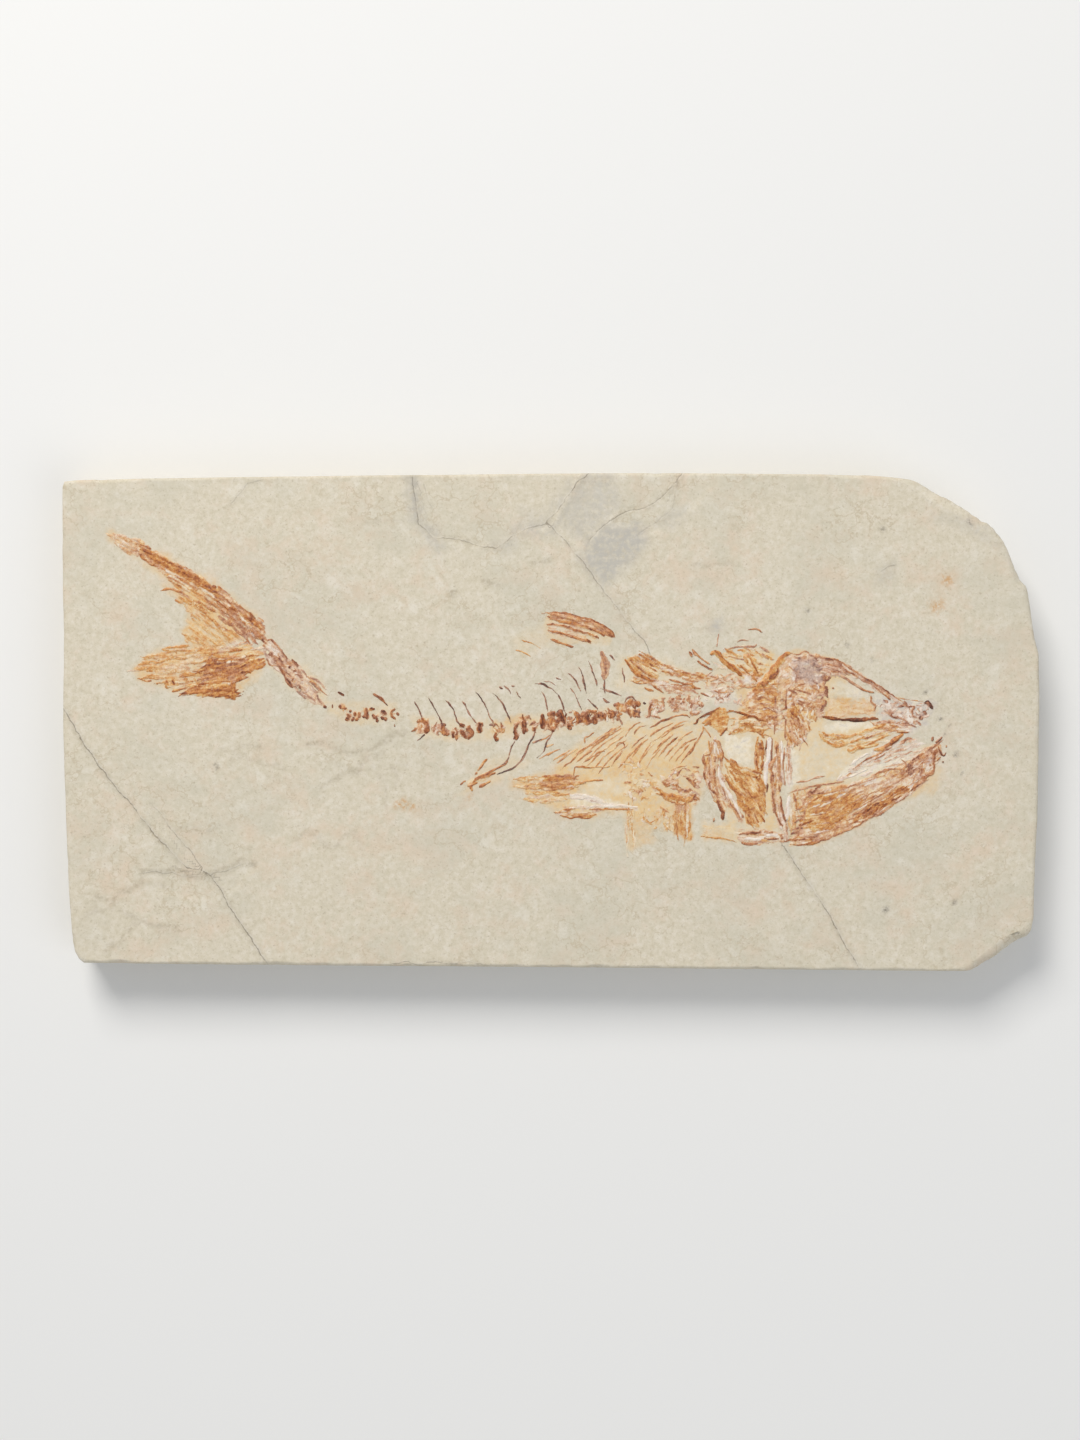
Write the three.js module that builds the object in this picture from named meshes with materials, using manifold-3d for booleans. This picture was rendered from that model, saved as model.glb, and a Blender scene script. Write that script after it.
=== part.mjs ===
// Fossil fish on a limestone slab, in millimetres.
// X runs from the tail to the snout, Y from the belly to the back and Z out of the stone.
import * as THREE from 'three';
import { mergeVertices } from 'three/addons/utils/BufferGeometryUtils.js';
import Module from 'manifold-3d';

const wasm = await Module();
wasm.setup();

// Driving dimensions
const slabThickness = 12;
const edgeWear = 0.7; // rounded arris all round the sawn plate
const flakeDepth = 0.5; // thin bed that has come away at the top edge
const thinFlakeDepth = 0.25; // the still thinner bed beside it
const cornerFacet = 2.2; // width of the broken facet on the two right-hand corners
const cutOverrun = 6; // how far a corner's cut runs past each of its ends
const chipDepth = 0.6; // small chips along the upper arris
const filmRelief = 0.25; // fin membrane and thin skull bone
const rayRelief = 0.5; // fin rays, ribs and spines
const boneRelief = 0.8; // jaws, struts and ring bones
const vertebraRelief = 0.9;
const fineWidth = 0.6; // ribs, spines and the thinnest rays
const rayWidth = 0.8;
const barWidth = 1.1;
const bandWidth = 1.4; // the thickest single bones
const ringSegments = 10; // facets round half of an end-on vertebra

const limestone = new THREE.MeshStandardMaterial({ color: '#d3cab6', roughness: 0.92, metalness: 0 });
const boneColours = {
  orange: '#c08650',
  brown: '#8f5a3c',
  dark: '#84482c',
  pale: '#d9b48a',
};

function boneMaterial(colour) {
  return new THREE.MeshStandardMaterial({ color: boneColours[colour], roughness: 0.7, metalness: 0 });
}

// Joining and cutting closed meshes
function toSolid(geometry) {
  const bare = geometry.clone();
  bare.deleteAttribute('normal');
  bare.deleteAttribute('uv');
  const merged = mergeVertices(bare, 1e-4);
  const mesh = new wasm.Mesh({
    numProp: 3,
    vertProperties: new Float32Array(merged.attributes.position.array),
    triVerts: new Uint32Array(merged.index.array),
  });
  return new wasm.Manifold(mesh);
}

function toGeometry(solid) {
  const mesh = solid.getMesh();
  const geometry = new THREE.BufferGeometry();
  geometry.setAttribute('position', new THREE.BufferAttribute(new Float32Array(mesh.vertProperties), 3));
  geometry.setIndex(new THREE.BufferAttribute(new Uint32Array(mesh.triVerts), 1));
  const flat = geometry.toNonIndexed();
  flat.computeVertexNormals();
  return flat;
}

// Flat shapes raised from the fossil face
function shapeOf(points) {
  return new THREE.Shape(points.map(([x, y]) => new THREE.Vector2(x, y)));
}

function plate(points, relief) {
  const geometry = new THREE.ExtrudeGeometry(shapeOf(points), { depth: relief, bevelEnabled: false });
  geometry.translate(0, 0, slabThickness);
  return toSolid(geometry);
}

// A bone seen edge-on: a strip along hand-picked points, narrowed to tipShare of its width at its ends
function strip(points, width, relief, tipShare = 0.45) {
  const last = points.length - 1;
  const left = [];
  const right = [];
  points.forEach(([x, y], i) => {
    const [x0, y0] = points[Math.max(i - 1, 0)];
    const [x1, y1] = points[Math.min(i + 1, last)];
    const length = Math.hypot(x1 - x0, y1 - y0);
    const isTip = i === 0 || i === last;
    const half = (width / 2) * (isTip ? tipShare : 1);
    const nx = (-(y1 - y0) / length) * half;
    const ny = ((x1 - x0) / length) * half;
    left.push([x + nx, y + ny]);
    right.unshift([x - nx, y - ny]);
  });
  return plate([...left, ...right], relief);
}

function ring(cx, cy, radius, width, relief) {
  const outer = new THREE.Shape();
  outer.absarc(cx, cy, radius, 0, Math.PI * 2);
  const hole = new THREE.Path();
  hole.absarc(cx, cy, radius - width, 0, Math.PI * 2, true);
  outer.holes.push(hole);
  const geometry = new THREE.ExtrudeGeometry(outer, {
    depth: relief,
    bevelEnabled: false,
    curveSegments: ringSegments,
  });
  geometry.translate(0, 0, slabThickness);
  return toSolid(geometry);
}

const fossil = new THREE.Group();

function addBone(name, colour, solids) {
  const joined = wasm.Manifold.union(solids);
  const mesh = new THREE.Mesh(toGeometry(joined), boneMaterial(colour));
  mesh.name = name;
  fossil.add(mesh);
}

// The stone: a sawn plate with two broken corners on the right
function slabOutline() {
  return [
    [-99.9, 48.6], [-97, 49.6], [-60, 50.2], [-10, 50.8], [25, 51], [65, 50.5], [73, 49.8], [77, 48.2],
    [80, 46.5], [85, 43.9], [90, 40.8], [92, 38.3], [93.5, 35.5], [95.2, 31], [97.5, 27.8], [98.4, 21],
    [99.8, 14], [100, 5], [99.8, -8], [99.3, -25], [98.8, -40], [97.5, -44.2], [93.5, -46.3], [89, -49.5],
    [86, -51], [0, -50.3], [-55, -49.8], [-95.5, -49.3], [-97.3, -47], [-98.2, -40], [-99.4, -15], [-99.8, 0],
    [-99.6, 18],
  ];
}

// A long prism laid along a broken corner, turned so that its face takes off the upper arris
function cornerCut(x0, y0, x1, y1) {
  const side = cornerFacet * 4; // well over the facet, so that only one edge of the prism cuts
  const reach = Math.hypot(x1 - x0, y1 - y0) + 2 * cutOverrun;
  const geometry = new THREE.BoxGeometry(reach, side, side);
  geometry.rotateX(Math.PI / 4);
  geometry.translate(0, 0, slabThickness + side * Math.SQRT1_2 - cornerFacet / 2);
  geometry.rotateZ(Math.atan2(y1 - y0, x1 - x0));
  geometry.translate((x0 + x1) / 2, (y0 + y1) / 2, 0);
  return toSolid(geometry);
}

function flakeCut(bed, depth) {
  const geometry = new THREE.ExtrudeGeometry(shapeOf(bed), { depth: depth * 2, bevelEnabled: false });
  geometry.translate(0, 0, slabThickness - depth);
  return toSolid(geometry);
}

function flakeCuts() {
  const topBed = [
    [-28.3, 52], [-28, 47.5], [-27, 40.5], [-24, 37.5], [-17.5, 37], [-11, 35.5], [-5, 39.5], [0, 40],
    [3, 45.5], [6, 49.5], [8, 52],
  ];
  const greyBed = [
    [8.8, 52], [6.8, 49.2], [3.8, 45], [0.8, 39.8], [8, 37], [12, 41], [20, 44], [25.5, 49], [27, 52],
  ];
  const leftBed = [
    [-83, -31], [-79, -31], [-76, -31.5], [-70, -31.3], [-64, -29.5], [-60, -28.8], [-64, -35], [-72, -36.5],
    [-80, -34.5],
  ];
  return [
    flakeCut(topBed, flakeDepth),
    flakeCut(greyBed, thinFlakeDepth),
    flakeCut(leftBed, thinFlakeDepth),
  ];
}

// A chip out of the upper arris: a box turned on edge, centred on the rim
function chipCut([x, y, length, turn]) {
  const side = chipDepth * 3; // the box stands clear of the stone above its lowest edge
  const geometry = new THREE.BoxGeometry(length, side, side);
  geometry.rotateX(Math.PI / 4);
  geometry.translate(0, 0, slabThickness + side * Math.SQRT1_2 - chipDepth);
  geometry.rotateZ(turn);
  geometry.translate(x, y, 0);
  return toSolid(geometry);
}

// Places of the chips: x, y, length and turn along the rim
function rimChips() {
  const upright = Math.PI / 2;
  return [
    [-31, -50, 4.5, 0.05], [-24, -50, 3, -0.06], [-17.5, -50.1, 5, 0.04], [33, -50.5, 3.6, -0.05],
    [71, -50.8, 4.2, 0.06], [-70, -49.7, 3.4, 0], [-58, 50.2, 5, 0.07], [-40, 50.5, 3, -0.05],
    [45, 50.9, 4, 0.04], [-99.4, -14, 4, upright], [-99.9, 30, 3, upright], [99.7, -16, 5, upright],
  ];
}

function addSlab() {
  const geometry = new THREE.ExtrudeGeometry(shapeOf(slabOutline()), {
    depth: slabThickness - 2 * edgeWear,
    bevelSize: edgeWear,
    bevelOffset: -edgeWear,
    bevelThickness: edgeWear,
    bevelSegments: 1,
  });
  geometry.translate(0, 0, edgeWear);
  const cuts = [
    cornerCut(78, 48.2, 92, 39.6),
    cornerCut(93.2, 37.2, 98.4, 25.6),
    cornerCut(97.8, -44.6, 88, -50.4),
    ...flakeCuts(),
    ...rimChips().map(chipCut),
  ];
  const solid = toSolid(geometry).subtract(wasm.Manifold.union(cuts));
  const mesh = new THREE.Mesh(toGeometry(solid), limestone);
  mesh.name = 'slab';
  fossil.add(mesh);
}

// Tail fin: one thin membrane with its rays standing on it
function addTailFin() {
  const membrane = [
    [-91, 38.5], [-88.5, 38.3], [-85, 37.7], [-83, 36.5], [-80, 34.3], [-77, 32.8], [-73, 30.8], [-68.8, 28],
    [-65, 25.5], [-61, 22], [-58.8, 20.2], [-57.9, 19], [-57.8, 17.8], [-59.2, 16.8], [-59.7, 14.6],
    [-59.1, 12.6], [-59.3, 11.2], [-61.5, 10], [-63, 9.2], [-64.3, 8.2], [-64.3, 4.5], [-66.5, 4.5],
    [-66.8, 5.3], [-70, 5.2], [-75.2, 5.7], [-79, 7.4], [-83, 8.5], [-85.5, 10.3], [-85, 11.5], [-83, 12.5],
    [-81, 14], [-79, 15], [-76, 15.5], [-73.6, 16.2], [-72.2, 17.5], [-73.5, 19.4], [-74.8, 20.8],
    [-73.7, 22.5], [-74.5, 24.6], [-76.5, 24.5], [-78.5, 25.4], [-79.7, 26.8], [-79, 28.2], [-77, 29.5],
    [-79.4, 31.2], [-82.6, 33], [-86.5, 34.6], [-88.5, 36],
  ];
  const upperRays = [
    [[-90, 38], [-85, 36.8], [-80, 33.6], [-74, 30.4], [-68.5, 26.8], [-64, 23], [-60, 19.2]],
    [[-87, 36], [-82.5, 34.4], [-77.2, 31.4], [-72, 28.4], [-67, 24.6], [-62.5, 20.2]],
    [[-78.2, 28.8], [-74, 26.6], [-69, 23.6], [-65, 20.2], [-61.5, 16.8]],
    [[-78, 26.6], [-74.6, 25.2], [-70, 22], [-66, 18.4]],
  ];
  const lowerRays = [
    [[-74.6, 6.2], [-70, 6.4], [-65.5, 6.9]],
    [[-72.5, 7.8], [-70, 8.1], [-65.6, 8.5]],
    [[-83.5, 10.2], [-78, 10.8], [-71, 10.4], [-65.7, 10.7], [-60.5, 12.4]],
    [[-82, 12], [-76, 13.4], [-70, 12.8], [-64, 13], [-60.6, 14]],
  ];
  const rays = [...upperRays, ...lowerRays].map((points) => strip(points, rayWidth, rayRelief));
  addBone('tail_fin', 'orange', [plate(membrane, filmRelief), ...rays]);
}

// Tail stem: the last, crushed vertebrae in front of the fin
function addTailStem() {
  const outline = [
    [-57.9, 16.6], [-56, 15.8], [-53.5, 12.8], [-51.5, 11.3], [-49.5, 9.3], [-47.5, 8.7], [-46.7, 7.7],
    [-47.5, 5.5], [-46, 3.2], [-48, 3.5], [-50.5, 4.9], [-52.3, 6.8], [-54.5, 9], [-56.5, 11.5],
    [-58.4, 12.8], [-58.9, 15],
  ];
  const ridges = [
    strip([[-58, 15.6], [-55.4, 14.4], [-53.8, 12.4]], rayWidth, rayRelief),
    strip([[-57.8, 12.9], [-55.6, 11], [-54.3, 9.6], [-52.8, 7.4]], rayWidth, rayRelief),
    strip([[-51.4, 10.8], [-49.6, 8.8], [-47.4, 7.6]], fineWidth, rayRelief),
    strip([[-51.6, 6.6], [-49.6, 5], [-47, 3.8]], fineWidth, rayRelief),
  ];
  addBone('tail_stem', 'pale', [plate(outline, filmRelief), ...ridges]);
}

// One vertebra: its centrum as a short upright bar, with the spines that grow from it
function addVertebra(name, colour, { centrum, width, spines = [] }) {
  const body = strip(centrum, width, vertebraRelief, 0.8);
  const growths = spines.map((points) => strip(points, fineWidth, rayRelief));
  addBone(name, colour, [body, ...growths]);
}

// Loose vertebrae between the tail stem and the unbroken backbone, from the tail forwards
function addTailVertebrae() {
  const row = [
    { centrum: [[-44.4, 3.9], [-44.6, 2.5]], width: 1.1 },
    { centrum: [[-42.4, 3.2], [-41.9, 1.9], [-41.5, 0.4]], width: 1.2 },
    { centrum: [[-39.6, 2.8], [-39.2, 1.5], [-39.4, 0.3]], width: 1.3 },
    { centrum: [[-37.3, 2.8], [-37.1, 0.6]], width: 1 },
    { centrum: [[-35.4, 1.6], [-35.5, 0.1]], width: 0.9 },
    { centrum: [[-33.8, 2.5], [-33.9, 0.3]], width: 1 },
    { centrum: [[-32, 2.9], [-32.4, 1.7], [-31.9, 0.4]], width: 0.9 },
  ];
  row.forEach((shape, i) => addVertebra(`tail_vertebra_${i + 1}`, 'dark', shape));
}

// The backbone, from the tail forwards, with upward neural and downward haemal spines where they show
function addBackbone() {
  const row = [
    {
      centrum: [[-25.2, 0.3], [-25.4, -2.3]],
      width: 1.3,
      spines: [[[-27.8, 4.4], [-26.8, 2.2], [-25.4, 0]]],
    },
    {
      centrum: [[-21.9, -0.8], [-21.6, -2.8]],
      width: 1.5,
      spines: [[[-25, 4.9], [-23.3, 1.9], [-21.9, -1]]],
    },
    {
      centrum: [[-19.3, -0.3], [-19.1, -2.7]],
      width: 1.3,
      spines: [[[-21.5, 4.6], [-19.9, 1.9], [-19.3, -1]]],
    },
    { centrum: [[-17, -1.3], [-16.9, -3.1]], width: 1.6 },
    {
      centrum: [[-14.6, 0.2], [-14.4, -2.2]],
      width: 1.2,
      spines: [[[-18.3, 4.5], [-16.4, 1.7], [-14.7, -0.4]]],
    },
    {
      centrum: [[-11.2, -1.9], [-11, -3.9]],
      width: 1.2,
      spines: [[[-15.3, 6.3], [-12.9, 2.4], [-11.2, -2.2]]],
    },
    {
      centrum: [[-7.4, -0.5], [-7, -3]],
      width: 1.3,
      spines: [[[-11.8, 6], [-9.3, 2.8], [-7.4, -0.8]], [[-7, -2.6], [-8.1, -5.2], [-8.6, -7.2]]],
    },
    { centrum: [[-5.4, 0], [-5.4, -2.2]], width: 1, spines: [[[-8, 7.4], [-6.5, 4.4], [-5.4, -0.2]]] },
    {
      centrum: [[-3.3, 0.5], [-3.3, -2]],
      width: 1,
      spines: [[[-3.3, -1.6], [-5, -6], [-7.2, -9.2], [-9.6, -10.3]]],
    },
    {
      centrum: [[-0.5, 1.8], [-0.4, -1.5]],
      width: 2.6,
      spines: [[[-2, 6.2], [-0.9, 3.6], [-0.4, 1.4]], [[0, -1.2], [-1, -4.2], [-2.9, -7.3]]],
    },
    {
      centrum: [[1.9, 1.9], [2.2, -0.3]],
      width: 1,
      spines: [[[-3.4, 7.9], [-0.2, 7], [2.1, 4.2], [2, 1.5]]],
    },
    { centrum: [[3.9, 1.2], [4, -1.6]], width: 0.9 },
    { centrum: [[5.4, 2], [5.6, -0.3]], width: 0.9 },
    { centrum: [[7.2, 2], [7.2, -0.4]], width: 1.4, spines: [[[4, 7], [5.6, 4.6], [7.1, 1.6]]] },
    { centrum: [[9.1, 1.7], [9.2, -0.4]], width: 1, spines: [[[5.7, 11.3], [7.2, 6.2], [9, 1.5]]] },
    { centrum: [[11, 1.9], [11.1, 0.3]], width: 1, spines: [[[7.7, 12.7], [9.5, 7], [11, 1.6]]] },
    {
      centrum: [[12.7, 1.9], [12.8, 0.3]],
      width: 0.9,
      spines: [[[10.2, 14.6], [11.2, 11], [11.3, 7], [12.6, 1.7]]],
    },
    { centrum: [[14.3, 3.5], [14.5, 1.4]], width: 0.9 },
    { centrum: [[16, 4.5], [16.1, 1.4]], width: 1.3 },
    { centrum: [[17.9, 4], [18, 1.8]], width: 1.1 },
  ];
  row.forEach((shape, i) => addVertebra(`vertebra_${i + 1}`, 'dark', shape));
}

// The foremost vertebrae, seen end-on as rings behind the head
function addNeckVertebrae() {
  const centres = [[21.5, 2.8, 1.5], [25.1, 3.2, 1.2], [29.2, 3.6, 1.3]];
  centres.forEach(([x, y, radius], i) => {
    addBone(`neck_vertebra_${i + 1}`, 'brown', [ring(x, y, radius, 0.6, vertebraRelief)]);
  });
}

// Dorsal fin: four thick rays on a scrap of membrane
function addDorsalFin() {
  const membrane = [
    [-0.8, 22.4], [6, 21.6], [10, 20.2], [12.6, 18.6], [13.4, 17], [9.6, 16.8], [6, 16.6], [-0.9, 18.5],
  ];
  const rays = [
    strip([[-0.4, 22.2], [6, 21], [11, 19.2], [13, 17.3]], bandWidth, boneRelief),
    strip([[-0.6, 20.9], [6, 19.6], [11, 17.5]], rayWidth, rayRelief),
    strip([[-0.8, 19.8], [5, 18.9], [9.5, 17.2]], fineWidth, rayRelief),
    strip([[-0.8, 18.8], [4, 17.7], [8.2, 16.2]], fineWidth, rayRelief),
  ];
  addBone('dorsal_fin', 'orange', [plate(membrane, filmRelief), ...rays]);
}

// Fin under the tail half of the body, with the long haemal spines running into it
function addAnalFin() {
  const membrane = [
    [-18.2, -12.9], [-15.6, -10.4], [-13.2, -9.4], [-11.4, -10.3], [-13.2, -12.4], [-16, -13.6],
  ];
  const rays = [
    strip([[-10.2, -9], [-13.3, -10.5], [-16.4, -12.9]], rayWidth, rayRelief),
    strip([[-12.9, -7.5], [-14, -8.8], [-15.4, -10.7]], fineWidth, rayRelief),
    strip([[-11.6, -11.4], [-14, -12.8], [-16, -13.8]], fineWidth, rayRelief),
  ];
  addBone('anal_fin', 'orange', [plate(membrane, filmRelief), ...rays]);
}

// Bones of the nape, loose above the backbone
function addNapeBones() {
  const crest = [
    [14.6, 12.9], [18.2, 14.2], [21, 13], [23, 12], [22.5, 10.4], [20, 8.3], [17, 10], [16, 11.3],
  ];
  const bones = [
    {
      colour: 'orange',
      solids: [plate(crest, rayRelief), strip([[15, 12.7], [17, 10.3], [21.3, 8.5]], fineWidth, boneRelief)],
    },
    { colour: 'orange', solids: [strip([[24.3, 11.4], [28, 9.9], [31, 9.2]], rayWidth, rayRelief)] },
    { colour: 'brown', solids: [strip([[28.8, 15], [31, 12.9], [32.2, 11.9]], fineWidth, rayRelief)] },
    { colour: 'orange', solids: [strip([[33.2, 14.4], [36, 11.9], [38.6, 9.7]], barWidth, rayRelief)] },
    {
      colour: 'orange',
      solids: [
        plate([[39.4, 13.8], [41.2, 13.5], [42.2, 12.6], [42, 10.9], [40.2, 11.7], [39.4, 12.5]], rayRelief),
      ],
    },
    { colour: 'brown', solids: [strip([[26.2, 8.6], [27.3, 7], [29.6, 6.4]], fineWidth, rayRelief)] },
  ];
  bones.forEach(({ colour, solids }, i) => addBone(`nape_bone_${i + 1}`, colour, solids));
}

// Ribs that show in the body behind the head
function addRibs() {
  const row = [
    [[2, -9.7], [4.4, -8.4], [8.4, -6.4]],
    [[5, -6.6], [9.6, -3.9], [14.6, -0.9]],
    [[12.2, -9], [14, -6.5], [15, -4.4]],
    [[15.6, -3], [16.6, -1.4], [18.6, -0.2]],
    [[20.2, -1.3], [23, 0.1], [25.6, 1], [28.4, 1.3]],
    [[20.8, -3.9], [23.2, -2.3], [25.8, -0.9]],
    [[28.3, -6.7], [29.6, -4.6], [30.8, -2.6], [31, -0.6]],
  ];
  row.forEach((points, i) => addBone(`rib_${i + 1}`, 'brown', [strip(points, fineWidth, rayRelief)]));
}

// Shoulder bones: two long bars down the back edge of the gill cover
function addShoulder() {
  const bars = [
    strip([[33.6, -3.4], [33.5, -8], [33.6, -13], [34.8, -17], [35.1, -20.4]], barWidth, boneRelief),
    strip([[31.7, -6.4], [31.4, -9.5], [32.2, -13.4], [34.4, -15.6]], rayWidth, rayRelief),
  ];
  addBone('shoulder_bone', 'brown', bars);
}

// Gill cover: its upper rim, the two bands that meet low down and the mass in the corner
function addGillCover() {
  const rim = strip([[30, 0.6], [31.5, 1.6], [34.8, 2.6], [39, 1.7], [41.4, 1.1]], rayWidth, boneRelief);
  const backOutline = [[31.2, 1.3], [35, 2.5], [37, 2], [36.6, 0], [35.4, -1.9], [33.4, -1.2]];
  addBone('gill_cover_rim', 'orange', [rim, plate(backOutline, rayRelief)]);
  const bands = [
    strip([[42.8, -3.4], [42.9, -7], [42.5, -11], [42.2, -15], [41.8, -21.2]], bandWidth, boneRelief),
    strip([[36.2, -8], [38.4, -9.4], [42.2, -10.8]], bandWidth, rayRelief),
    strip([[37, -11.6], [39, -13.4], [41.9, -14.9]], bandWidth, rayRelief),
    plate([[38.8, -15.6], [42, -14.6], [42.4, -21.4], [40.2, -20.8], [39, -18]], rayRelief),
  ];
  addBone('gill_cover', 'orange', bands);
}

// Cheek: the long white strut and the brown bone beside it
function addCheek() {
  const strut = strip([[44.5, -2.6], [44.4, -7.5], [44.1, -12.6]], rayWidth, boneRelief);
  addBone('white_strut', 'pale', [strut]);
  const bars = [
    strip([[46.2, -6.6], [45.6, -9.6], [45.5, -15.4], [46.6, -20], [47.6, -22]], barWidth, boneRelief),
    strip([[47.9, -4.8], [47.2, -9], [46, -13.6]], rayWidth, rayRelief),
  ];
  addBone('cheek_bone', 'brown', bars);
}

// Skull: the back and roof of the head down to the snout, with the bones round the eye
function addSkull() {
  const braincase = [
    [42.4, 7], [44, 8.5], [46, 11.3], [48.4, 14.1], [50.5, 13.8], [53, 13.6], [58, 12.8], [61, 11],
    [59.6, 9.8], [57.3, 9.5], [56, 7.6], [55.9, 3.4], [54.5, 0.8], [52.2, -3.6], [50.4, -5.2], [48.6, -4.4],
    [46.4, -2], [43.6, 0.9], [42, 3.6],
  ];
  const ridges = [
    strip([[42.6, 7.2], [45, 9.8], [47.6, 13.2], [50.5, 13.7], [53, 13.4]], barWidth, boneRelief),
    strip([[52.8, 13.4], [58, 12.6], [61, 10.9], [66, 7.8], [72, 4]], barWidth, boneRelief),
    strip([[57.2, 9.6], [55.9, 7.6], [56.2, 5], [55.8, 1.2]], barWidth, boneRelief),
    strip([[57.4, 9.5], [60.5, 8.8], [63.2, 7.1], [66, 6]], rayWidth, rayRelief),
    strip([[54.6, 0.9], [60, 0.5], [67, 0.7]], barWidth, boneRelief),
    strip([[65.2, 6], [65.9, 3.6], [66.1, 0.7]], rayWidth, rayRelief),
    strip([[66.4, 0.8], [70, 1.2], [73.2, -0.6]], rayWidth, rayRelief),
  ];
  addBone('skull', 'brown', [plate(braincase, filmRelief), ...ridges]);
}

// Upper jaw: the toothed bar and the bones that fan back from it
function addUpperJaw() {
  const bars = [
    strip([[58.4, -5], [62, -4], [66, -1.9], [69, -0.6]], rayWidth, rayRelief),
    strip([[60.6, -5.8], [64, -5.2], [68, -3.4], [70.4, -1.8], [69, -0.6]], rayWidth, rayRelief),
    strip([[61.4, -9.8], [66, -7.1], [71.2, -3.3], [70.2, -1.8]], barWidth, boneRelief),
    strip([[69.8, -2], [72, -2], [73.4, -2.2]], rayWidth, boneRelief),
  ];
  addBone('upper_jaw', 'orange', bars);
}

// Scrap of the snout in front of the eye
function addSnout() {
  addBone('snout_bone', 'brown', [strip([[76.4, 3.9], [77.4, 3.5], [78, 2.6]], rayWidth, rayRelief)]);
}

// Lower jaw: a broad plate with a thick outer edge, from the throat up to the chin
function addLowerJaw() {
  const jaw = [
    [48.6, -24.9], [53, -24.8], [59, -23], [64, -20.5], [69, -17.8], [73.5, -14.8], [77, -11.4], [78.6, -8.5],
    [80, -6.5], [79.8, -4], [78, -3.8], [77.3, -5], [74, -7.4], [72.4, -9.6], [69, -9.4], [65.5, -11],
    [59.5, -13], [50.4, -14.9], [49.8, -20],
  ];
  const lowerEdge = [[49, -24.6], [56, -23.8], [64, -20], [69, -17.4], [75.4, -12.7], [78.6, -8.2]];
  const ridges = [
    strip(lowerEdge, barWidth, boneRelief),
    strip([[50.6, -15.2], [58, -13.4], [65.4, -11.2], [71, -9.9]], rayWidth, boneRelief),
    strip([[52, -20], [60, -17.6], [68, -14], [75, -9.4]], rayWidth, rayRelief),
    strip([[78, -4], [79.4, -4], [79.6, -6.2], [78.4, -8.2]], barWidth, boneRelief),
  ];
  addBone('lower_jaw', 'orange', [plate(jaw, filmRelief), ...ridges]);
}

// Throat: the scrap of bone under the gill cover
function addThroat() {
  const scrap = strip([[38.4, -22.9], [41.5, -22.8], [45.4, -22.7]], rayWidth, rayRelief);
  addBone('throat_bone', 'brown', [scrap]);
}

// Breast: the bones of the pectoral fin at the lower edge of the body
function addPectoralFin() {
  const root = [
    [22, -14], [25, -16.2], [27.6, -16.8], [29, -15.5], [29.8, -13.4], [29.4, -11], [28, -10.1], [26.5, -11],
  ];
  const rays = [
    strip([[25.9, -16.2], [25.8, -20], [25.6, -24]], rayWidth, filmRelief),
    strip([[27.6, -16.2], [27.8, -20], [28.2, -24.4]], rayWidth, filmRelief),
  ];
  addBone('pectoral_fin', 'orange', [plate(root, rayRelief), ...rays]);
}

// Hip: the small plate that carried the pelvic fin
function addPelvicBone() {
  const outline = [[-1, -12.6], [1, -11.3], [3.5, -10.9], [4.9, -11.8], [4.6, -13], [1, -14]];
  addBone('pelvic_bone', 'orange', [plate(outline, rayRelief)]);
}

addSlab();
addTailFin();
addTailStem();
addTailVertebrae();
addBackbone();
addNeckVertebrae();
addDorsalFin();
addAnalFin();
addNapeBones();
addRibs();
addShoulder();
addGillCover();
addCheek();
addSkull();
addUpperJaw();
addSnout();
addLowerJaw();
addThroat();
addPectoralFin();
addPelvicBone();

export default fossil;
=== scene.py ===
import bpy
import numpy as np
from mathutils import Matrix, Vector


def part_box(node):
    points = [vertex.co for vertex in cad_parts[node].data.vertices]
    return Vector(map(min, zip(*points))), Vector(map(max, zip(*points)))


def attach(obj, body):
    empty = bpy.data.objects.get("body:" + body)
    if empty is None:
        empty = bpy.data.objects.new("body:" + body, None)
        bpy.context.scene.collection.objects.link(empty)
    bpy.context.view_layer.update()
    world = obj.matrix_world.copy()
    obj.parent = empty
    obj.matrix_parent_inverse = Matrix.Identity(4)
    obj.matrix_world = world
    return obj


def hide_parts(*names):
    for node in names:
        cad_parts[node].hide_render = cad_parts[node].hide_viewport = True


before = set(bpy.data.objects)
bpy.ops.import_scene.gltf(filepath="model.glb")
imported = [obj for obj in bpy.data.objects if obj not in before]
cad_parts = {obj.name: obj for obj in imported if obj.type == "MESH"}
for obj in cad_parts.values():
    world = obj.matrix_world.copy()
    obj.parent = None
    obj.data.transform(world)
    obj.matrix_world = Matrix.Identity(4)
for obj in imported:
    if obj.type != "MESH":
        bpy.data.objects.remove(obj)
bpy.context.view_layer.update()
metre = 0.001  # all lengths below are millimetres, as read off the slab


# Colour and node helpers

def linear(hexColour):
    channels = [int(hexColour[i:i + 2], 16) / 255 for i in (1, 3, 5)]
    return [c / 12.92 if c <= 0.04045 else ((c + 0.055) / 1.055) ** 2.4 for c in channels] + [1.0]


def addNode(tree, kind, inputs=None, give=0, **settings):
    # inputs go by socket name or number; each is another node's output or a plain value
    node = tree.nodes.new(kind)
    for key, value in settings.items():
        setattr(node, key, value)
    for key, value in (inputs or {}).items():
        if isinstance(value, bpy.types.NodeSocket):
            tree.links.new(value, node.inputs[key])
        else:
            node.inputs[key].default_value = value
    return node.outputs[give] if len(node.outputs) else node


def setStops(ramp, stops):
    elements = ramp.color_ramp.elements
    while len(elements) > 1:
        elements.remove(elements[-1])
    for i, (place, hexColour) in enumerate(stops):
        element = elements[0] if i == 0 else elements.new(place)
        element.position = place
        element.color = linear(hexColour)


# Plane geometry on arrays of points

def readPath(text):
    return np.array([[float(n) for n in pair.split(",")] for pair in text.split()])


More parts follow.
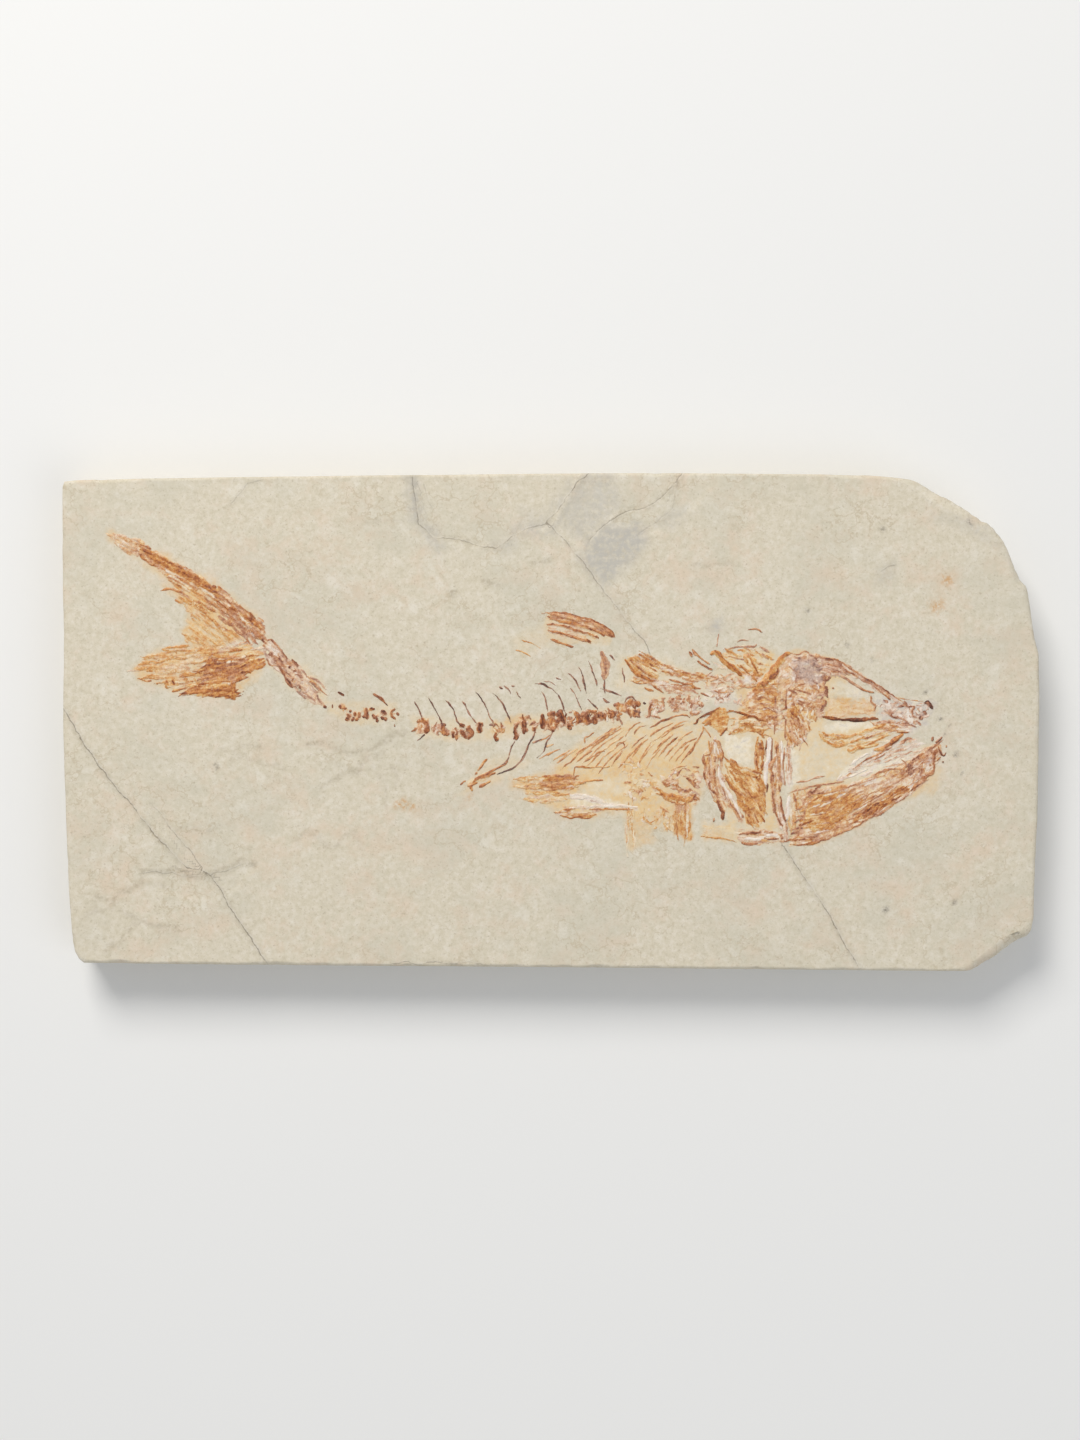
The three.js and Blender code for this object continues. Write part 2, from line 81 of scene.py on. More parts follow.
def writePath(points):
    return " ".join(f"{x:.2f},{y:.2f}" for x, y in points)


def smoothPath(points, steps=4):
    if len(points) < 3:
        return points
    padded = np.vstack([2 * points[0] - points[1], points, 2 * points[-1] - points[-2]])
    made = []
    for a, b, c, d in zip(padded, padded[1:], padded[2:], padded[3:]):
        for t in np.arange(steps) / steps:
            made.append(0.5 * (2 * b + (c - a) * t + (2 * a - 5 * b + 4 * c - d) * t * t
                               + (3 * b - a - 3 * c + d) * t ** 3))
    made.append(points[-1])
    return np.array(made)


def cloudNoise(x, y, size, seed):
    # smooth random values from -1 to 1, with bumps about one size across
    u, v = x / size + 0.37 * seed, y / size - 0.61 * seed
    i, j = np.floor(u).astype(np.int64), np.floor(v).astype(np.int64)
    fu, fv = u - i, v - j
    fu, fv = fu * fu * (3 - 2 * fu), fv * fv * (3 - 2 * fv)

    def corner(a, b):
        h = (a * 374761393 + b * 668265263 + seed * 974634777) & 0xFFFFFFFF
        h = ((h ^ (h >> 13)) * 1274126177) & 0xFFFFFFFF
        return ((h ^ (h >> 16)) & 0xFFFF) / 32767.5 - 1

    low = corner(i, j) * (1 - fu) + corner(i + 1, j) * fu
    high = corner(i, j + 1) * (1 - fu) + corner(i + 1, j + 1) * fu
    return low * (1 - fv) + high * fv


def roughNoise(x, y, size, seed):
    return (cloudNoise(x, y, size, seed) + 0.5 * cloudNoise(x, y, size / 2.1, seed + 11)
            + 0.25 * cloudNoise(x, y, size / 4.3, seed + 23)) / 1.4


def ease(low, high, value):
    t = np.clip((value - low) / (high - low), 0, 1)
    return t * t * (3 - 2 * t)


def alongPath(path, x, y):
    # distance to a path, signed by side, and the length along it
    best = np.full(x.shape, 1e9)
    side = np.ones(x.shape)
    along = np.zeros(x.shape)
    start = 0.0
    for (ax, ay), (bx, by) in zip(path[:-1], path[1:]):
        dx, dy = bx - ax, by - ay
        length = np.hypot(dx, dy)
        t = np.clip(((x - ax) * dx + (y - ay) * dy) / length ** 2, 0, 1)
        distance = np.hypot(x - ax - t * dx, y - ay - t * dy)
        nearer = distance < best
        cross = dx * (y - ay) - dy * (x - ax)
        best = np.where(nearer, distance, best)
        side = np.where(nearer, np.where(cross >= 0, 1.0, -1.0), side)
        along = np.where(nearer, start + t * length, along)
        start += length
    return best, side, along, start


def insideBy(outline, x, y):
    # distance to a closed outline, positive inside it
    loop = np.vstack([outline, outline[:1]])
    distance, _, _, _ = alongPath(loop, x, y)
    inside = np.zeros(x.shape, bool)
    for (ax, ay), (bx, by) in zip(loop[:-1], loop[1:]):
        if ay == by:
            continue
        crosses = (ay > y) != (by > y)
        inside ^= crosses & (x < (bx - ax) * (y - ay) / (by - ay) + ax)
    return np.where(inside, distance, -distance)


def makeMesh(name, points, quads, smoothCount, attributes, caps=()):
    # points in millimetres, faces as index arrays; the first smoothCount faces are shaded smooth
    mesh = bpy.data.meshes.new(name)
    mesh.vertices.add(len(points))
    mesh.vertices.foreach_set("co", (points * metre).astype(np.float32).ravel())
    corners = np.concatenate([quads.ravel()] + [np.asarray(cap) for cap in caps])
    totals = np.concatenate([np.full(len(quads), 4), [len(cap) for cap in caps]]).astype(np.int32)
    mesh.loops.add(len(corners))
    mesh.loops.foreach_set("vertex_index", corners.astype(np.int32))
    mesh.polygons.add(len(totals))
    mesh.polygons.foreach_set("loop_start", np.concatenate([[0], np.cumsum(totals)[:-1]]).astype(np.int32))
    mesh.polygons.foreach_set("use_smooth", np.arange(len(totals)) < smoothCount)
    mesh.update(calc_edges=True)
    for key, values in attributes.items():
        if values.ndim == 2:
            mesh.attributes.new(key, "FLOAT_VECTOR", "POINT").data.foreach_set(
                "vector", values.astype(np.float32).ravel())
        else:
            mesh.attributes.new(key, "FLOAT", "POINT").data.foreach_set("value", values.astype(np.float32))
    made = bpy.data.objects.new(name, mesh)
    bpy.context.scene.collection.objects.link(made)
    return made


# Materials

stoneLook = {
    "mud": [(0.3, "#C9BFA8"), (0.44, "#D3CAB4"), (0.54, "#DAD1BD"), (0.68, "#E2DACA")],  # damp to dry tone
    "layers": {  # colours laid over the mud, each where the noise of its name is strong
        "blush": "#DDC6AE", "clay": "#C9C5B3", "milk": "#E6E0D2", "wisp": "#C2B49A", "fleck": "#AFA48D",
    },
    "stains": {  # stains that the mesh carries, the grey one with painted ledge shadow in it, each worn by the noise of its name
        "greyness": "#BBB7AE", "dirt": "#A0937C", "rust": "#C99A62", "soot": "#6A6258",
    },
    "haze": [(0.0, "#C6BDB8"), (0.1, "#EFE4CE"), (0.2, "#E4D3B4"), (0.35, "#E3C594"), (0.5, "#DBAF78"),
             (0.75, "#C2824C"), (1.0, "#9A5A34")],
    "vein": 0.012,  # half its width, as a share of the noise's range
    "crack": "#7A6F5E", "crackDepth": -0.14,  # the hairlines' colour, also that of the painted shadow along them; their depth in mm
    "crackShadeAndHighlightMarks": {  # mm from the line where each mark starts and ends, and its strength at both
        "line": (0.04, 0.19, 0.9, 0), "shade": (0.1, 1.0, 0.26, 0), "lip": (0.12, 0.4, 1, 0),
    },
    "lip": "#EAE4D6", "paintedHighlightShare": 0.4,  # painted highlight: the pale edge that catches the light along a crack
    "grain": 0.07, "unevenness": 0.12,  # mm of fine and of soft relief
}
stoneNoise = {  # size in mm, detail and roughness; then from low and high to least and most
    "mottle": (1.15, 7, 0.78), "blush": (8, 6, 0.68, 0.5, 0.66, 0, 0.5),
    "clay": (15, 6, 0.65, 0.46, 0.64, 0, 0.4), "milk": (4.5, 5, 0.75, 0.55, 0.7, 0, 0.55),
    "vein": (9, 4, 0.6), "wisp": (17, 2, 0.55, 0.46, 0.58, 0, 0.7), "fleck": (0.5, 3, 0.6, 0.58, 0.74, 0, 0.6),
    "hazeClouds": (2.6, 4, 0.65, 0.34, 0.6, 0.5, 1.25), "hazeCrumbs": (0.6, 4, 0.7, 0.3, 0.6, 0.6, 1.2),
    "hazeShift": (1.1, 5, 0.75), "greyness": (1.1, 4, 0.65, 0.36, 0.58, 0.35, 1),
    "dirt": (0.8, 4, 0.65, 0.36, 0.62, 0.15, 1), "rust": (0.8, 4, 0.65, 0.4, 0.6, 0.1, 1),
    "soot": (0.4, 4, 0.65, 0.35, 0.6, 0.2, 1), "wander": (0.7, 3, 0.6),
    "broken": (3.1, 3, 0.7, 0.36, 0.56, 0.15, 1), "faded": (2.1, 3, 0.7, 0.4, 0.6, 0.2, 1),
    "grain": (0.42, 3, 0.6),  # the lime mud is far finer, and is drawn so coarse that it shows
    "unevenness": (2.2, 4, 0.6),
}


def limestoneGroup():
    # the stone's colour and fine relief, with the stains and cracks that the mesh carries, and the painted
    # shadows and highlights along the cracks
    tree = bpy.data.node_groups.new("limestone face", "ShaderNodeTree")
    tree.interface.new_socket("Colour", in_out="OUTPUT", socket_type="NodeSocketColor")
    tree.interface.new_socket("Relief", in_out="OUTPUT", socket_type="NodeSocketFloat")
    place = addNode(tree, "ShaderNodeTexCoord", give="Object")
    noise = {}
    for name, (size, detail, rough, *spread) in stoneNoise.items():
        mapped = addNode(tree, "ShaderNodeMapping", {"Vector": place, "Scale": [1 / (size * metre)] * 3})
        noise[name] = addNode(tree, "ShaderNodeTexNoise", {
            "Vector": mapped, "Scale": 1.0, "Detail": detail, "Roughness": rough})
        if spread:
            noise[name] = addNode(tree, "ShaderNodeMapRange", dict(enumerate([noise[name], *spread])))
    carried = {name: addNode(tree, "ShaderNodeAttribute", give="Fac", attribute_name=name)
               for name in ("haze", "hazeTone", *stoneLook["stains"], "crack", "crackAndShadingStrength")}
    hazeShift = addNode(tree, "ShaderNodeMath", {0: noise["hazeShift"], 1: 0.5}, operation="SUBTRACT")
    hazeTone = addNode(
        tree, "ShaderNodeMath", {0: hazeShift, 1: 0.5, 2: carried["hazeTone"]}, operation="MULTIPLY_ADD")
    ramps = {}
    for name, source in (("mud", noise["mottle"]), ("haze", hazeTone)):
        ramps[name] = addNode(tree, "ShaderNodeValToRGB", {"Fac": source})
        setStops(ramps[name].node, stoneLook[name])

    # thin veins run where the noise crosses its middle
    vein = addNode(tree, "ShaderNodeMath", {0: noise["vein"], 1: 0.5}, operation="SUBTRACT")
    vein = addNode(tree, "ShaderNodeMath", {0: vein}, operation="ABSOLUTE")
    vein = addNode(tree, "ShaderNodeMapRange", {0: vein, 1: 0.0, 2: stoneLook["vein"], 3: 1, 4: 0})
    noise["wisp"] = addNode(tree, "ShaderNodeMath", {0: vein, 1: noise["wisp"]}, operation="MULTIPLY")

    # hairlines: a dark line, a painted soft shadow at both sides and a painted highlight, a pale lip, on one
    # side
    wander = addNode(tree, "ShaderNodeMath", {0: noise["wander"], 1: 0.5}, operation="SUBTRACT")
    crack = addNode(tree, "ShaderNodeMath", {0: wander, 1: 0.5, 2: carried["crack"]}, operation="MULTIPLY_ADD")
    offset = addNode(tree, "ShaderNodeMath", {0: crack}, operation="ABSOLUTE")
    marks = {}
    highlightStart = addNode(tree, "ShaderNodeMapRange", {0: carried["crack"], 1: 0.02, 2: 0.12, 3: 0, 4: 1})
    for name, source, worn in (("line", offset, noise["broken"]), ("shade", offset, noise["faded"]),
                               ("lip", carried["crack"], highlightStart)):
        made = addNode(
            tree, "ShaderNodeMapRange", dict(enumerate([source, *stoneLook["crackShadeAndHighlightMarks"][name]])))
        made = addNode(tree, "ShaderNodeMath", {0: made, 1: carried["crackAndShadingStrength"]}, operation="MULTIPLY")
        marks[name] = addNode(tree, "ShaderNodeMath", {0: made, 1: worn}, operation="MULTIPLY")

    # colours from the mud up, each with its share
    patchy = addNode(
        tree, "ShaderNodeMath", {0: noise["hazeClouds"], 1: noise["hazeCrumbs"]}, operation="MULTIPLY")
    hazy = addNode(tree, "ShaderNodeMath", {0: carried["haze"], 1: patchy}, operation="MULTIPLY")
    layers = [(linear(colour), noise[name]) for name, colour in stoneLook["layers"].items()]
    layers.append((ramps["haze"], addNode(tree, "ShaderNodeMath", {0: hazy, 1: 1.0}, operation="MINIMUM")))
    for name, colour in stoneLook["stains"].items():
        layers.append((linear(colour), addNode(
            tree, "ShaderNodeMath", {0: carried[name], 1: noise[name]}, operation="MULTIPLY")))
    # the dark line with its painted shadow, then the painted highlight on one side
    layers.append((linear(stoneLook["crack"]), addNode(
        tree, "ShaderNodeMath", {0: marks["line"], 1: marks["shade"]}, operation="MAXIMUM")))
    layers.append((linear(stoneLook["lip"]), addNode(
        tree, "ShaderNodeMath", {0: marks["lip"], 1: stoneLook["paintedHighlightShare"]}, operation="MULTIPLY")))
    colour = ramps["mud"]
    for over, share in layers:
        colour = addNode(tree, "ShaderNodeMix", {0: share, 6: colour, 7: over}, 2, data_type="RGBA")

    relief = addNode(
        tree, "ShaderNodeMath", {0: noise["unevenness"], 1: stoneLook["unevenness"]}, operation="MULTIPLY")
    for source, depth in ((noise["grain"], stoneLook["grain"]), (marks["line"], stoneLook["crackDepth"])):
        relief = addNode(tree, "ShaderNodeMath", {0: source, 1: depth, 2: relief}, operation="MULTIPLY_ADD")
    addNode(tree, "NodeGroupOutput", {"Colour": colour, "Relief": relief})
    return tree


def newMaterial(name):
    made = bpy.data.materials.new(name)
    made.use_nodes = True
    tree = made.node_tree
    tree.nodes.clear()
    shader = addNode(tree, "ShaderNodeBsdfPrincipled").node
    addNode(tree, "ShaderNodeOutputMaterial", {"Surface": shader.outputs[0]})
    return made, tree, shader


def setSurface(tree, shader, colour, relief, strength, roughness, specular):
    bump = addNode(tree, "ShaderNodeBump", {"Height": relief, "Strength": strength, "Distance": metre})
    tree.links.new(colour, shader.inputs["Base Color"])
    tree.links.new(bump, shader.inputs["Normal"])
    shader.inputs["Roughness"].default_value = roughness
    shader.inputs["Specular IOR Level"].default_value = specular


stoneGroup = limestoneGroup()


def splitLimestone():
    # Cream limestone split along its bed: fine matt grain, so light spreads softly over it
    made, tree, shader = newMaterial("limestone, split along the bed")
    face = addNode(tree, "ShaderNodeGroup", node_tree=stoneGroup).node
    setSurface(tree, shader, face.outputs["Colour"], face.outputs["Relief"], 0.6, 0.82, 0.3)
    return made


boneRamps = {  # from worn thin and pale to thick and dark
    "rust": [(0.0, "#E8D4AE"), (0.2, "#E1B97E"), (0.4, "#D29350"), (0.6, "#B87038"), (0.8, "#8F4C28"),
             (1.0, "#5A2E18")],
    "rose": [(0.0, "#EAD8C6"), (0.2, "#DFBC9E"), (0.4, "#CB9A7C"), (0.6, "#AE785C"), (0.8, "#82503C"),
             (1.0, "#4E2E24")],
    "chalk": [(0.0, "#F2E9DF"), (0.25, "#DFD0C4"), (0.5, "#C2AEA2"), (0.75, "#917A70"), (1.0, "#574845")],
}
boneLook = {  # for each slot: darker or paler overall, and roughness
    "orange_bone": (-0.1, 0.5), "brown_bone": (-0.08, 0.5),
    "dark_bone": (-0.02, 0.45), "pale_bone": (-0.02, 0.6),
}
fibreStretch = (0.16, 1.0, 1.0)  # the fibres run about six times as long as they are wide
boneRelief = {"coarse": 0.08, "fibre": 0.1}  # mm
bareFrom, bareTo = -0.03, 0.07  # mm of height over which the bone's colour takes over from the stone's
boneNoise = {  # rows as for the stone; real fibres are finer, and are drawn so coarse that they show
    "fibre": (0.5, 4, 0.7), "coarse": (1.3, 4, 0.65),  # across the grain
    "blotch": (0.8, 4, 0.7), "speckle": (0.32, 2, 0.55), "tint": (1.5, 4, 0.65),
    "leached": (0.6, 4, 0.7, 0.57, 0.68, 0, 0.5), "chalky": (0.8, 3, 0.55, 0.3, 0.55, 0.35, 1),
}
toneShares = {"fibre": 0.95, "coarse": 0.55, "blotch": 1.0, "speckle": 0.45}  # how far each shifts the tone


def mineralisedBone(slotName):
    # Bone turned to iron-stained mineral: fibres along each bone, a faint polish on its ridges
    made, tree, shader = newMaterial(slotName.replace("_", " ") + ", iron stained, bared by splitting")
    shift, roughness = boneLook[slotName]
    carried = {name: addNode(tree, "ShaderNodeAttribute", give="Vector" if name == "grain" else "Fac",
                             attribute_name=name) for name in ("grain", "tone", "rosy", "bleach", "rise")}
    face = addNode(tree, "ShaderNodeGroup", node_tree=stoneGroup).node
    along = addNode(tree, "ShaderNodeVectorMath", {0: carried["grain"], 1: fibreStretch}, operation="MULTIPLY")
    place = addNode(tree, "ShaderNodeTexCoord", give="Object")
    noise = {}
    for name, (size, detail, rough, *spread) in boneNoise.items():
        # the fibres are laid out along each bone in mm, the rest over the slab in metres
        source, unit = (along, 1) if name in ("fibre", "coarse") else (place, metre)
        mapped = addNode(tree, "ShaderNodeMapping", {"Vector": source, "Scale": [1 / (size * unit)] * 3})
        noise[name] = addNode(tree, "ShaderNodeTexNoise", {
            "Vector": mapped, "Scale": 1.0, "Detail": detail, "Roughness": rough})
        if spread:
            noise[name] = addNode(tree, "ShaderNodeMapRange", dict(enumerate([noise[name], *spread])))
    centred = {name: addNode(tree, "ShaderNodeMath", {0: noise[name], 1: 0.5}, operation="SUBTRACT")
               for name in (*toneShares, "tint")}
    tone = addNode(tree, "ShaderNodeMath", {0: carried["tone"], 1: shift}, operation="ADD")
    for name, share in toneShares.items():
        tone = addNode(tree, "ShaderNodeMath", {0: centred[name], 1: share, 2: tone}, operation="MULTIPLY_ADD")
    rosy, leached, bared = (
        addNode(tree, "ShaderNodeMath", {0: first, 1: second, 2: third}, operation="MULTIPLY_ADD")
        for first, second, third in ((centred["tint"], 2.2, carried["rosy"]),
                                     (carried["bleach"], noise["chalky"], noise["leached"]),
                                     (centred["fibre"], 0.3, carried["rise"])))
    bared = addNode(tree, "ShaderNodeMapRange", {0: bared, 1: bareFrom, 2: bareTo, 3: 0.0, 4: 1.0})
    shades = {}
    for name, places in boneRamps.items():
        shades[name] = addNode(tree, "ShaderNodeValToRGB", {"Fac": tone})
        setStops(shades[name].node, places)
    colour = shades["rust"]
    for over, share in ((shades["rose"], rosy), (shades["chalk"], leached)):
        colour = addNode(tree, "ShaderNodeMix", {0: share, 6: colour, 7: over}, 2, data_type="RGBA")
    colour = addNode(
        tree, "ShaderNodeMix", {0: bared, 6: face.outputs["Colour"], 7: colour}, 2, data_type="RGBA")
    relief = addNode(
        tree, "ShaderNodeMath", {0: noise["coarse"], 1: boneRelief["coarse"]}, operation="MULTIPLY")
    ridges = {0: noise["fibre"], 1: boneRelief["fibre"], 2: relief}
    relief = addNode(tree, "ShaderNodeMath", ridges, operation="MULTIPLY_ADD")
    setSurface(tree, shader, colour, relief, 0.7, roughness, 0.4)
    return made


limestone = splitLimestone()
boneMaterials = {name: mineralisedBone(name) for name in boneLook}
print("materials built")


# The slab's form

slab = {
    "top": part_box("slab")[1].z / metre,
    "sheet": (400, 200),  # cells along and across the upper face
    "swells": ((0.1, 46, 3), (0.045, 13, 5)),  # the face's slow waves: height, breadth and a seed
    "tooth": 0.012, "sag": 0.16,  # its fine unevenness, and how far it lies under the nominal plane
    "arris": 0.8,  # mean width of the worn edge
    "facet": 1.7,  # extra width of the edge where a corner is broken
    "wallSteps": 9, "foot": ((0.35, 0.3), (0.9, 0.0)),  # rings down the sides; the lower arris as inset, height
    "outline": {  # corner points from the lower left to the upper left, one run for each side
        "bottom": "-95.5,-49.3 -75,-49.6 -55,-49.8 0,-50.2 70,-50.9 85.7,-51",
        "right": """85.7,-51 87.5,-50.6 89,-49.5 91,-48 93.5,-46.3 96,-45 97.5,-44.2 98.3,-42.5 98.8,-40
            98.9,-35 99.3,-25 99.6,-20 99.8,-8 100,5 99.8,14 99,17 98.4,21 98.1,23.5 97.8,26 97.5,27.8 96.5,29.3
            95.2,31 94.5,33 93.5,35.5 92,38.3 90.8,40.1 90,40.8 87.5,42.1 85,43.9 82.5,45.3 80,46.5 77,48.2
            75,49.4 73,49.8""",
        "top": "-99.5,49.2 -97,49.5 -85,49.8 -60,50.2 -35,50.5 0,50.9 20,51 55,50.7 65,50.5 73,49.8",
        "left": """-95.5,-49.3 -96.5,-48.5 -97.3,-47 -97.8,-45 -98.2,-40 -98.6,-35 -99,-25 -99.4,-15 -99.8,0
            -99.6,18 -99.8,25 -99.9,35 -99.9,48 -99.5,49.2""",
    },
    "beds": [  # thin layers that have come away: outline, depth
        ("""-28.3,54 -28,47.5 -27,40.5 -24,37.5 -21,37.3 -17.5,37 -14.5,36 -11,35.5 -8,37.8 -5,39.5 0,40 1.5,43
         3,45.5 6,49.5 8,54""", 0.4),
        ("8.8,54 6.8,49.2 3.8,45 0.8,39.8 4,36.5 8,37 9.5,39 12,41 15,42.8 20,44 23.5,46.8 25.5,49 27,54",
         0.2),
        ("""-83,-31 -81,-30.5 -79,-31 -77.5,-30.7 -76,-31.5 -74,-31.8 -71.5,-31.7 -69,-31 -66.5,-30.5 -64,-29.5
         -62,-29 -60,-28.8 -62,-32 -66,-35.5 -72,-36.5 -80,-34.5""", 0.14),
    ],
    "scarps": [  # low steps that fade away from their line: line, step, fade
        ("30,45 27,42 24,40 20,38.5", 0.1, 4),
        ("-28.5,50 -28,47.5 -27.5,44 -27,40.5 -25,39", 0.12, 5),
        ("-65,45 -62,48.5 -59,49.5", 0.06, 3),
        ("-48,-5 -44,-8.5 -38,-10 -30,-9", 0.05, 5),
        ("-85,-40 -83,-40.7 -81,-41.5", 0.06, 3),
        ("-86,-43 -89,-45.5 -92,-47", 0.06, 3),
        ("-99.5,2.5 -96,-3.5 -90,-12 -84,-19.3 -78,-26 -74.5,-29.8 -70,-31", 0.05, 3),
        ("47.7,-25.4 53.2,-33.8 57.4,-40.3 60.1,-45.7 63,-50.5", 0.04, 3),
    ],
    "hairlinesAndLedgeShadows": [  # hairlines, and painted shadow lines under the beds' ledges: line, darkness
        ("""-99.5,2.5 -98,0 -96,-3.5 -92,-9.5 -90,-12 -87.3,-15.2 -85.5,-17 -84,-19.3 -82,-21.5 -80,-24 -78,-26
         -76,-28.5 -74.5,-29.8 -72,-30.3 -70,-31 -69,-32.3 -67.5,-34.3 -66,-37.5 -64,-40.2 -62,-43 -60.5,-45.5
         -59,-47.8 -57.8,-49.9""", 0.85),
        ("-81,-17.3 -79.5,-19 -77.5,-21.8 -75.5,-24.3 -73.5,-26.5 -72,-28.8 -71,-30.2", 0.55),
        ("47.7,-25.4 49.5,-28.5 53.2,-33.8 57.4,-40.3 60.1,-45.7 62.1,-48.7 63.2,-51", 0.85),
        ("0,40 2.5,37.5 5,34.5 8,31 9.5,28.5 11,26.5 13,24 15,21.3 17,18.8 19,16.7 19.8,15 20.3,13.7", 0.6),
        # painted shadow: this line and the next two run under the upper beds' ledges
        ("0,40 -1,41 1.5,43 3,45.5 4.5,47.5 6,49.5 8,51", 0.8),
        ("""-28.3,50 -28,47.5 -27.2,43 -27,40.5 -25.5,39.3 -24,37.6 -21,37.5 -17.5,37 -14.5,36 -11,35.5 -8,37.8
         -5,39.5 -1,40.5""", 0.6),
        ("27,50.9 25.5,49 23.5,46.8 20,44 15,42.8 12,41 9.5,39 8,37", 0.6), ("-65,45 -62,48.5 -59,49.5", 0.3),
        ("67,30.5 68.6,31.6 70,32", 0.4), ("-26,48.5 -25,45 -23.4,42.4", 0.3),
        ("26,49 25,44 22,41 18,38.5", 0.25),
        ("-32,-49.4 -29,-49 -27,-49.6 -24,-48.9 -20,-49.5 -17,-49 -14,-49.7", 0.6),
        # painted shadow under the lower bed's ledge
        ("""-83,-31 -81,-30.5 -79,-31 -77.5,-30.7 -76,-31.5 -74,-31.8 -71.5,-31.7 -69,-31 -66.5,-30.5
         -64,-29.5""", 0.4),
    ],
    "greysAndLedgeShade": [  # grey clayey stains, and painted shadow under the upper beds' ledges: outline, strength
        ("""6.7,32.6 8.2,38 11,40.4 14,39.8 18,40 19.8,36.8 17.4,33.6 14.2,31.4 12.4,30 10.8,28 9.4,29.8
         8,31.4""", 0.9),
        ("1.2,41.4 3,44.8 6.4,49 7,51 13,51 14,43.6 11.4,42.6 8.4,39.4 9,35 5.4,37.2", 0.55),
        # painted shadow: a wide grey band under the upper bed's left ledge
        ("-29.6,50.6 -27.8,50.6 -27,45.6 -26.4,40.4 -27.8,40.2 -28.8,45", 0.75),
        ("-26.4,39.6 -24.6,39.6 -22.6,36.2 -23.4,34.8 -25.2,36.6", 0.6),
        ("-11.4,36.2 -8.8,38.2 -6,40.6 -2.6,41 0.8,40.8 0.6,38.8 -2.6,38.4 -6,38.4 -8,36.6 -10,35.2", 0.6),
        ("-5.8,42.8 -2.6,42.4 0.4,43.4 0.4,40.8 -5,40.4", 0.35),
        ("0,44 2.6,47.6 4.8,49.6 3.6,46 1.6,43.2", 0.5), ("21.4,40.2 24.4,42.8 27.6,43 26.6,41 23,39.6", 0.5),
        ("67,31 71,33 70,29 67,29", 0.35), ("78,42 90,40 92,36 84,40", 0.4),
    ],
    "wisps": [  # soft dirt caught in the bed's small steps: line, strength
        ("-49.3,-5 -46.7,-4.5 -43.3,-5.7 -41.3,-6.3 -39,-6 -36.7,-5 -32.7,-3 -30,-2.7", 0.9),
        ("-39,-6.3 -38,-7.3 -40,-10 -42.7,-11 -45.3,-12.7 -47.3,-14.3", 0.7),
        ("-38,-7.3 -36.7,-6.7 -34.3,-5.7", 0.6), ("-68,-5.7 -64.7,-6.3 -62,-5.3 -58.7,-5", 0.5),
        ("-65.3,-8.3 -62.7,-7.3 -58.7,-8.3 -54.7,-9.3", 0.5), ("-35,-10.7 -34.3,-13.3 -34,-17.3", 0.45),
        ("-52.3,-24.7 -50.7,-22.7 -47.3,-23 -46,-25.3 -43.3,-25.7 -42,-23.3 -40,-23 -38.7,-25.7", 0.55),
        ("-32.7,-8.7 -30.7,-11.3 -32,-13.3", 0.45), ("-96,-40 -91.3,-38 -88.7,-37.3", 0.5),
        ("""-92.7,-36 -90,-36.7 -88.7,-35.3 -86,-34.3 -84,-32.7 -84,-30.3 -81.3,-30.3 -78.7,-30.8 -76.7,-30.3
         -73.3,-31.7 -71.3,-30.7 -69,-30.7 -66.7,-29.3 -62.7,-29 -60.7,-29.3""", 0.8),
        ("-90.7,-46.7 -88,-44.3 -84.7,-41.3", 0.75), ("-87.3,-38.3 -83.3,-40.7 -80,-41.3 -76,-42.3", 0.6),
        ("-84,-32.7 -80.7,-33.3 -78,-34.7", 0.5), ("-77.3,-21.7 -74.7,-22 -70.7,-22 -68,-21.3", 0.5),
        ("-4.7,32.3 -0.7,32.7", 0.8), ("-13.3,28.7 -10.7,28", 1.0), ("-20.3,26.7 -19.3,25.3", 1.0),
        ("29.3,31.7 33.3,32.3 37.3,32.7", 0.6), ("-38,41.3 -30,41", 0.45),
        ("-22.7,38.3 -18,37 -14.6,35.8 -10.6,36", 0.6), ("-97,49.6 -60,50 -20,50.4", 0.25),
        ("12.7,41 16,43.4 20,44.4 23.4,46.4 26.8,50.4", 0.5),
    ],
    "specks": {  # small marks: x, y and radius
        "rust": [(-31.2, -17, 0.8), (-29.9, -16.8, 1.1), (-28.4, -17.1, 0.8), (79, 24, 1.4), (81, 29, 1.2),
            (-16.5, -15.5, 0.6)],
        "grey": [(34, 19.5, 1.6), (33.9, 18.6, 0.5)],
        "soot": [(82.8, -37, 0.5), (67.5, 39.7, 0.5), (52.3, 22.5, 0.5), (79.6, 0.6, 0.35), (81.4, -1.4, 0.3),
            (80.6, -3, 0.35), (82.6, -6.4, 0.3), (76, 6.2, 0.35), (60.4, 15.4, 0.4), (84, -10.4, 0.3),
            (66, 12, 0.35), (-68, -9, 0.4), (68, -38, 0.6), (86, 41, 0.6)],
    },
}
print("slab design read")


def surfaceRise(x, y):
    # height of the upper face over its nominal plane
    rise = sum(height * cloudNoise(x, y, breadth, seed) for height, breadth, seed in slab["swells"])
    rise = rise + slab["tooth"] * roughNoise(x, y, 2.4, 7) - slab["sag"]
    wobbleX = x + 0.7 * roughNoise(x, y, 2.6, 31)
    wobbleY = y + 0.7 * roughNoise(x, y, 2.6, 37)
    for outline, depth in slab["beds"]:
        rise = rise - depth * ease(-0.35, 0.35, insideBy(readPath(outline), wobbleX, wobbleY))
    for line, step, fade in slab["scarps"]:
        distance, side, _, _ = alongPath(readPath(line), wobbleX, wobbleY)
        near = distance < 4 * fade
        rise = rise + np.where(near, step * side * ease(0, 0.4, distance) * np.exp(-distance / fade), 0)
    return rise


def evenly(path, count):
    lengths = np.concatenate([[0], np.cumsum(np.hypot(*np.diff(path, axis=0).T))])
    places = np.linspace(0, lengths[-1], count + 1)
    return np.column_stack([np.interp(places, lengths, path[:, k]) for k in (0, 1)])


